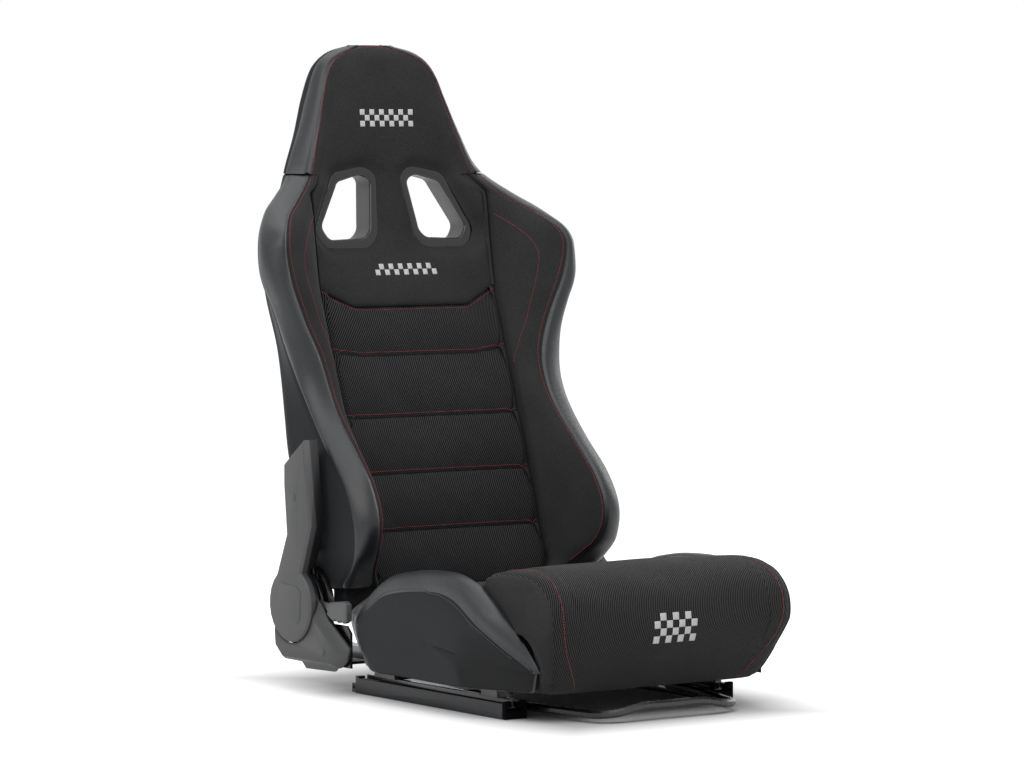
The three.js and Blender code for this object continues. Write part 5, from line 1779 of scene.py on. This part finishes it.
    @staticmethod
    def _roll_ends(
        stations: np.ndarray, rings: list[np.ndarray], pinned: list[np.ndarray]
    ) -> tuple[np.ndarray, np.ndarray, np.ndarray]:
        """Adds the crowned end panels of the front roll to its sections.

        Args:
            stations: place of each section across the seat.
            rings: the sections.
            pinned: which of their points are held.

        Returns:
            The three lists as arrays, with more sections at both ends.
        """
        middle = np.array([-50.0, 125.0])
        places, made, fixed = list(stations), list(rings), list(pinned)
        for share in (0.97, 0.92, 0.84, 0.72, 0.56, 0.38, 0.2, 0.06):
            for sign, end in ((-1, rings[0]), (1, rings[-1])):
                drawn = end.copy()
                drawn[:, 1:] = middle + (end[:, 1:] - middle) * share
                drawn[:, 0] += sign * (1.2 * (1 - share**2))
                spot = 0 if sign < 0 else len(made)
                made.insert(spot, drawn)
                places.insert(spot, (stations[-1] + 1 - share) * sign)
                fixed.insert(spot, pinned[0])
        return np.array(places), np.array(made), np.array(fixed)

    def _bolster_face(self, y: np.ndarray, z: np.ndarray) -> np.ndarray:
        """How far out the bolster's outer face stands; it tucks in under the front corner."""
        share = np.clip((30 - y) / 110, 0, 1) * np.clip((150 - z) / 85, 0, 1)
        return self.bolster_outer - self.bolster_tuck * share

    def _ridge_ring(self, depth: float, outline: np.ndarray) -> np.ndarray:
        """Section of the bolster's arched ridge.

        Args:
            depth: how far inside the outer face it lies.
            outline: y and z of the outer face's edge.

        Returns:
            Points x 3.
        """
        base_y, base_z = 115.0, 60.0
        y, z = outline.T
        rear_share = np.clip((y - 200) / 60, 0, 1) * np.clip((152 - z) / 30, 0, 1)
        high_share = np.clip((z - 38) / 130, 0, 1)
        drawn = 1 - (1 - self.ridge_front(depth)) * (high_share if depth < 24 else 1)
        along = base_y + (y - base_y) * np.where(y < base_y, drawn, self.ridge_back(depth))
        along = along + self.ridge_under(depth) * rear_share
        up = np.where(z > base_z, base_z + (z - base_z) * self.ridge_top(depth), z)
        return self._clear(np.column_stack([self._bolster_face(y, z) - depth, along, up]))

    def _face_rings(self, last: np.ndarray) -> list[np.ndarray]:
        """Sections that close the bolster's outer face, drawn in from the ridge's last one."""
        middle = np.array([105.0, 96.0])
        rim_step = last[:, 0] - self._bolster_face(last[:, 1], last[:, 2])
        made = []
        for share in (0.985, 0.96, 0.92, 0.86, 0.78, 0.68, 0.56, 0.44, 0.32, 0.2, 0.1, 0.03):
            flat = middle + (last[:, 1:] - middle) * share
            bulge = 2.2 * (1 - share**4) - 1.6 * math.exp(-(((1 - share) / 0.02) ** 2))
            face = self._bolster_face(flat[:, 0], flat[:, 1])
            made.append(np.column_stack([face + rim_step * share**4 + bulge, flat]))
        return made

    def _bolster(self, upholsterer: Upholsterer) -> bpy.types.Object:
        """Bolster on the occupant's left: an arched ridge of leather round a smooth outer face."""
        outline = smooth_path([
            (-60, 44), (-10, 44), (80, 44.5), (180, 45.2), (258, 46), (275, 63), (296, 92), (303, 116),
            (289, 137), (265, 157), (238, 175), (200, 187), (142, 195), (80, 198), (36, 190), (0, 172),
            (-36, 147), (-66, 109), (-84, 76), (-88, 52), (-80, 45),
        ], 200, closed=True)
        depths = np.r_[79.2, np.arange(76, 30, -3.0), 31.6, np.arange(29, 9, -2.0),
                       8, 6.2, 4.6, 3.2, 2, 1.1, 0.5, 0]
        rings = [self._ridge_ring(depth, outline) for depth in depths]
        rings = np.array(rings + self._face_rings(rings[-1]))
        shape = rings.shape[:2]
        loft = Loft(rings, np.full(shape, Cover.LEATHER.value), np.zeros(shape), zero=len(outline) // 2)
        panel = len(depths)
        seam = int(np.argmax(depths < 50))
        loft.regions[panel:] = Cover.VINYL.value
        loft.regions[:seam] = Cover.CLOTH.value
        level = np.arange(len(rings))[:, None]
        across = np.r_[depths, -np.linspace(2, 60, len(rings) - panel)][:, None]
        upper = rings[..., 2] > 60
        amount = np.where(upper, groove(across - depths[seam], 2.0, 3.0) + groove(across, 1.8, 2.4), 0.0)
        ridge = (level > seam) & (level < panel) & upper
        amount += 1.1 * ridge * ripple(across * np.ones(rings.shape[1]), loft.around(), 40, 130, 6.4)
        loft.swell(amount)
        held = ((rings[..., 2] < 52) | (level < seam - 3) | (np.abs(level - seam) < 1)
                | (np.abs(level - panel) < 1)).astype(float)
        held[-1] = 1.0
        pad = self.wardrobe.dress(link("bolster_left", loft.mesh("bolster_left")), *COVERS)
        upholsterer.add(pad, held, self.bolster_cap)
        return pad

    def _clear(self, ring: np.ndarray) -> np.ndarray:
        """Keeps a section of the bolster out of the front roll and off the seat frame."""
        made = ring.copy()
        beside_roll = made[:, 1] < self.roll_rear + 0.8
        roll_end = (self.half_width + 1.5) * self._taper(made[:, 2])
        made[:, 0] = np.where(beside_roll, np.maximum(made[:, 0], roll_end), made[:, 0])
        on_frame = (made[:, 2] < self.bottom + 0.5) & (made[:, 0] < 195.5)
        made[on_frame, 2] = self.bottom + 0.5
        made[:, 0] = np.maximum(made[:, 0], self.pad_half + 1.2)
        return made

    def finish(self) -> None:
        """Mirrors the bolster and adds the stitches and the embroidery."""
        left = self.bolster
        right = link("bolster_right", mirrored(left.data, "bolster_right"))
        for pad, side in ((left, LEFT), (right, RIGHT)):
            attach(pad, "seat")
            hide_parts(f"cushion_bolster_{SIDE_NAMES[side]}")
        self._stitching({LEFT: left, RIGHT: right})

    def _stitching(self, bolsters: dict[int, bpy.types.Object]) -> None:
        """Crimson rows down the roll, grey rows round the bolsters, and the chequers in front."""
        tree = surface_tree(self.centre)
        row = place(smooth_path([
            (181, 10, 205), (183, -40, 210), (184, -87, 203), (188, -118, 178), (190, -134, 150),
            (188, -134, 125), (178, -122, 100), (162, -108, 76), (146, -92, 55), (141, -84, 48),
        ], 130))
        rows = [on_surface(tree, row), on_surface(tree, row * (-1, 1, 1))]
        piece = Repeater.stitches("roll_stitches", rows, self.wardrobe["crimson_thread"])
        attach(piece, "seat")
        arch = place(smooth_path([
            (249, 262, 138), (249, 240, 149), (249, 216, 160), (249, 171, 168), (249, 129, 171),
            (249, 88, 168), (249, 47, 157), (249, 5, 133), (246, -43, 102), (238, -58, 84),
        ], 160))
        rows = [on_surface(surface_tree(pad), arch * (side, 1, 1)) for side, pad in bolsters.items()]
        piece = Repeater.stitches("bolster_stitches", rows, self.wardrobe["grey_thread"])
        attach(piece, "seat")
        motif = Embroidery("cushion_chequer", middle=(0.0, 126.0), columns=7, rows=4, pitch=10.5)
        piece = motif.build(tree, self.wardrobe["white_thread"])
        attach(piece, "seat")


# ---- rigid parts ----------------------------------------------------------------------------


@dataclass
class Hardware:
    """Rails, frame, recliner and covers: CAD pieces with broken edges and their finishes, with painted shade
    on the hinge covers.
    """

    wardrobe: Wardrobe
    nodes: dict[str, bpy.types.Object]
    body_of: dict[str, str]
    merge: float = 2e-6  # points of a CAD mesh closer than this, in metres, are one
    flat: float = 1.0  # degrees by which faces may turn and still be one
    edge_turn: float = 38.0  # degrees from which an edge is rounded
    finishes: dict[str, tuple[str, float]] = field(default_factory=lambda: {
        "lower_rail": ("rail_steel", 0.5), "upper_rail": ("black_enamel", 0.4),
        "rail_front_cap": ("rubber", 1.2),
        "latch_bracket": ("black_enamel", 0.5), "slide_handle": ("black_enamel", 0.0),
        "latch_plate": ("zinc_plate", 0.3), "latch_spring": ("spring_steel", 0.0),
        "seat_side_member": ("black_enamel", 0.6), "seat_front_tube": ("black_enamel", 0.0),
        "seat_rear_tube": ("black_enamel", 0.0), "seat_mat": ("webbing", 0.0),
        "roller_cage": ("zinc_plate", 0.0), "back_rear_panel": ("smooth_vinyl", 1.2),
        "back_side_plate": ("black_enamel", 0.5), "back_side_tube": ("black_enamel", 0.0),
        "back_top_tube": ("black_enamel", 0.0), "back_lower_tube": ("black_enamel", 0.0),
        "back_upper_tube": ("black_enamel", 0.0), "back_mat": ("webbing", 0.0),
        "recliner_arm": ("black_enamel", 0.4), "arm_bolt_lower": ("zinc_plate", 0.3),
        "arm_bolt_upper": ("zinc_plate", 0.3), "recliner_base": ("black_enamel", 0.4),
        "recliner_pawl": ("zinc_plate", 0.3), "cross_shaft": ("zinc_plate", 0.2),
        "release_cam": ("zinc_plate", 0.3), "recline_lever": ("zinc_plate", 0.4),
        "lever_grip": ("lever_plastic", 1.1), "return_spring": ("spring_steel", 0.0),
        # the hinge covers' finishes hold painted shade
        "upper_hinge_cover": ("arm_cover_plastic", 1.5), "lower_hinge_cover": ("base_cover_plastic", 1.5),
    })

    def build(self) -> None:
        """Finishes every CAD piece that isn't upholstered."""
        for name, node in self.nodes.items():
            if node.hide_render:
                continue
            stem = name.rsplit("_", 1)[0] if name.endswith(("_right", "_left")) else name
            finish, bevel = self.finishes[stem]
            if bevel:
                self._eased(name, node, finish, bevel)
            else:
                self.wardrobe.dress(node, finish)
        self._screws()

    def _eased(self, name: str, node: bpy.types.Object, finish: str, bevel: float) -> None:
        """Replaces a CAD node by a merged copy whose edges are rounded.

        Args:
            name: the node's name.
            node: its object.
            finish: its finish.
            bevel: width of the rounding in millimetres.
        """
        mesh = node.data.copy()
        mesh.name = f"{name}_eased"
        work = bmesh.new()
        work.from_mesh(mesh)
        bmesh.ops.remove_doubles(work, verts=work.verts, dist=self.merge)
        bmesh.ops.dissolve_limit(
            work, angle_limit=math.radians(self.flat), verts=work.verts, edges=work.edges)
        for face in work.faces:
            face.smooth = True
        work.to_mesh(mesh)
        work.free()
        piece = self.wardrobe.dress(link(f"{name}_eased", mesh), finish)
        rounding = piece.modifiers.new("Eased", "BEVEL")
        rounding.width = bevel * MM
        rounding.segments = 2
        rounding.limit_method = "ANGLE"
        rounding.angle_limit = math.radians(self.edge_turn)
        rounding.harden_normals = True
        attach(piece, self.body_of[name])
        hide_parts(name)

    def _screws(self) -> None:
        """Hexagon heads that hold the seat frame to the upper rails."""
        half_spacing, flange_z = 180.0, 66.8
        spots = [place((side * half_spacing, y, flange_z)) for side in (RIGHT, LEFT) for y in (38.0, 296.0)]
        piece = Repeater.screws("frame_screws", spots, (0, 0, 1), self.wardrobe["zinc_plate"])
        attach(piece, "seat")


# ---- studio ---------------------------------------------------------------------------------


@dataclass
class Studio:
    """Pale floor, soft lamps and the camera."""

    azimuth: float = -35.53
    elevation: float = 3.28
    camera_at: tuple[float, float, float] = (-3822.16, -5097.78, 818.32)
    lens: float = 161.73
    floor_half: float = 14.0
    floor_glow: float = 0.82
    painted_shadow_half_x: float = 0.2  # painted shadow: the floor glows beyond this patch under the seat, and not in it
    painted_shadow_half_y: float = 0.375
    painted_shadow_forward: float = 0.045
    surround: float = 0.36
    lamps: tuple = (  # name, place, size and power
        ("key", (-1.6, -1.8, 3.0), 2.4, 44.0),
        ("left", (-2.8, -0.3, 2.2), 1.6, 22.0),
        ("right", (3.0, 0.2, 1.5), 1.6, 22.0),
        ("top", (0.2, 0.4, 3.2), 2.6, 30.0),
    )

    def build(self) -> None:
        """Makes the floor, the surroundings, the lamps and the camera."""
        self._floor()
        self._surroundings()
        for lamp in self.lamps:
            self._lamp(*lamp)
        self._camera()

    def _camera(self) -> None:
        """Camera at the photograph's angle."""
        turn, tilt = math.radians(self.azimuth), math.radians(self.elevation)
        back = Vector((math.sin(turn) * math.cos(tilt), -math.cos(turn) * math.cos(tilt), math.sin(tilt)))
        camera = link("camera", bpy.data.cameras.new("camera"))
        camera.data.lens = self.lens
        camera.data.sensor_width = 36.0
        camera.location = place(self.camera_at)
        camera.rotation_euler = (-back).to_track_quat("-Z", "Y").to_euler()
        camera.data.clip_start, camera.data.clip_end = 0.1, 60.0
        bpy.context.scene.camera = camera

    def _lamp(self, name: str, where: Sequence[float], size: float, power: float) -> None:
        """A square soft lamp that faces the seat's middle."""
        lamp = bpy.data.lights.new(name, "AREA")
        lamp.shape = "SQUARE"
        lamp.size = size
        lamp.energy = power
        made = link(name, lamp)
        made.location = where
        aim = Vector((0.0, 0.0, 0.45)) - Vector(where)
        made.rotation_euler = aim.to_track_quat("-Z", "Y").to_euler()

    @staticmethod
    def _seen(tree: bpy.types.NodeTree) -> bpy.types.NodeSocket:
        """1 for camera, glossy and transmission rays, which see a white background."""
        path = add_node(tree, "ShaderNodeLightPath")
        total = path.outputs["Is Camera Ray"]
        for name in ("Is Glossy Ray", "Is Transmission Ray"):
            both = {0: total, 1: path.outputs[name]}
            larger = add_node(tree, "ShaderNodeMath", {"operation": "MAXIMUM"}, both)
            total = larger.outputs[0]
        return total

    def _floor(self) -> None:
        """Wide pale floor that keeps the seat's soft shadow, with a painted shadow: its glow is held back
        over a patch under the seat.
        """
        mesh = bpy.data.meshes.new("floor")
        half = self.floor_half
        corners = [(-half, -half, 0), (half, -half, 0), (half, half, 0), (-half, half, 0)]
        mesh.from_pydata(corners, [], [(0, 1, 2, 3)])
        floor = link("floor", mesh)
        floor.location.z = -0.0005
        graph = Graph("pale_floor")
        matt = graph.node("ShaderNodeBsdfDiffuse", None, {"Color": (0.8, 0.8, 0.8, 1.0)})
        x, y, _ = graph.parts(graph.position())
        # painted shadow: the glow fades to nothing over a patch under the seat
        beside = x.maths("ABSOLUTE", x) - self.painted_shadow_half_x
        beyond = x.maths("ABSOLUTE", y + self.painted_shadow_forward) - self.painted_shadow_half_y
        away = beside.maths("MAXIMUM", beside, beyond).between(-0.04, 0.16)
        shine = graph.blend(away, (0.0,) * 3, (self.floor_glow,) * 3)
        glow = graph.node("ShaderNodeEmission", None, {"Color": shine})
        both = graph.node("ShaderNodeAddShader", None, {0: graph.pick(matt), 1: graph.pick(glow)})
        seen = self._seen(graph.tree)
        mix = graph.node("ShaderNodeMixShader", None, {0: seen, 1: graph.pick(matt), 2: graph.pick(both)})
        graph.node("ShaderNodeOutputMaterial", None, {0: graph.pick(mix)})
        mesh.materials.append(graph.material)
        floor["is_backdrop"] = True

    def _surroundings(self) -> None:
        """Even light from all round, white where it is seen."""
        world = bpy.data.worlds.new("surroundings")
        world.use_nodes = True
        tree = world.node_tree
        tree.nodes.clear()
        light, white = (
            add_node(tree, "ShaderNodeBackground", None, {"Color": (1.0,) * 4, "Strength": strength})
            for strength in (self.surround, 1.0)
        )
        mix = add_node(tree, "ShaderNodeMixShader", None, {
            0: self._seen(tree), 1: light.outputs[0], 2: white.outputs[0],
        })
        add_node(tree, "ShaderNodeOutputWorld", None, {0: mix.outputs[0]})
        bpy.context.scene.world = world


def main() -> None:
    """Builds the seat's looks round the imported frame."""
    logging.basicConfig(level=logging.INFO, format="%(message)s")
    for leftover in list(bpy.data.objects):
        bpy.data.objects.remove(leftover)
    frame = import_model()
    bpy.context.scene.view_settings.view_transform = "Standard"
    wardrobe = Wardrobe()
    Studio().build()
    upholsterer = Upholsterer()
    backrest, cushion = Backrest(wardrobe), Cushion(wardrobe)
    backrest.build(upholsterer)
    cushion.build(upholsterer)
    upholsterer.run()
    backrest.finish()
    cushion.finish()
    bodies = frame["record"]["behaviour"]["bodies"]
    body_of = {node: body for body, members in bodies.items() for node in members}
    Hardware(wardrobe, frame["nodes"], body_of).build()
    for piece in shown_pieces():
        LOG.info("%s: %d faces", piece.name, len(piece.data.polygons))


if __name__ == "__main__":
    main()
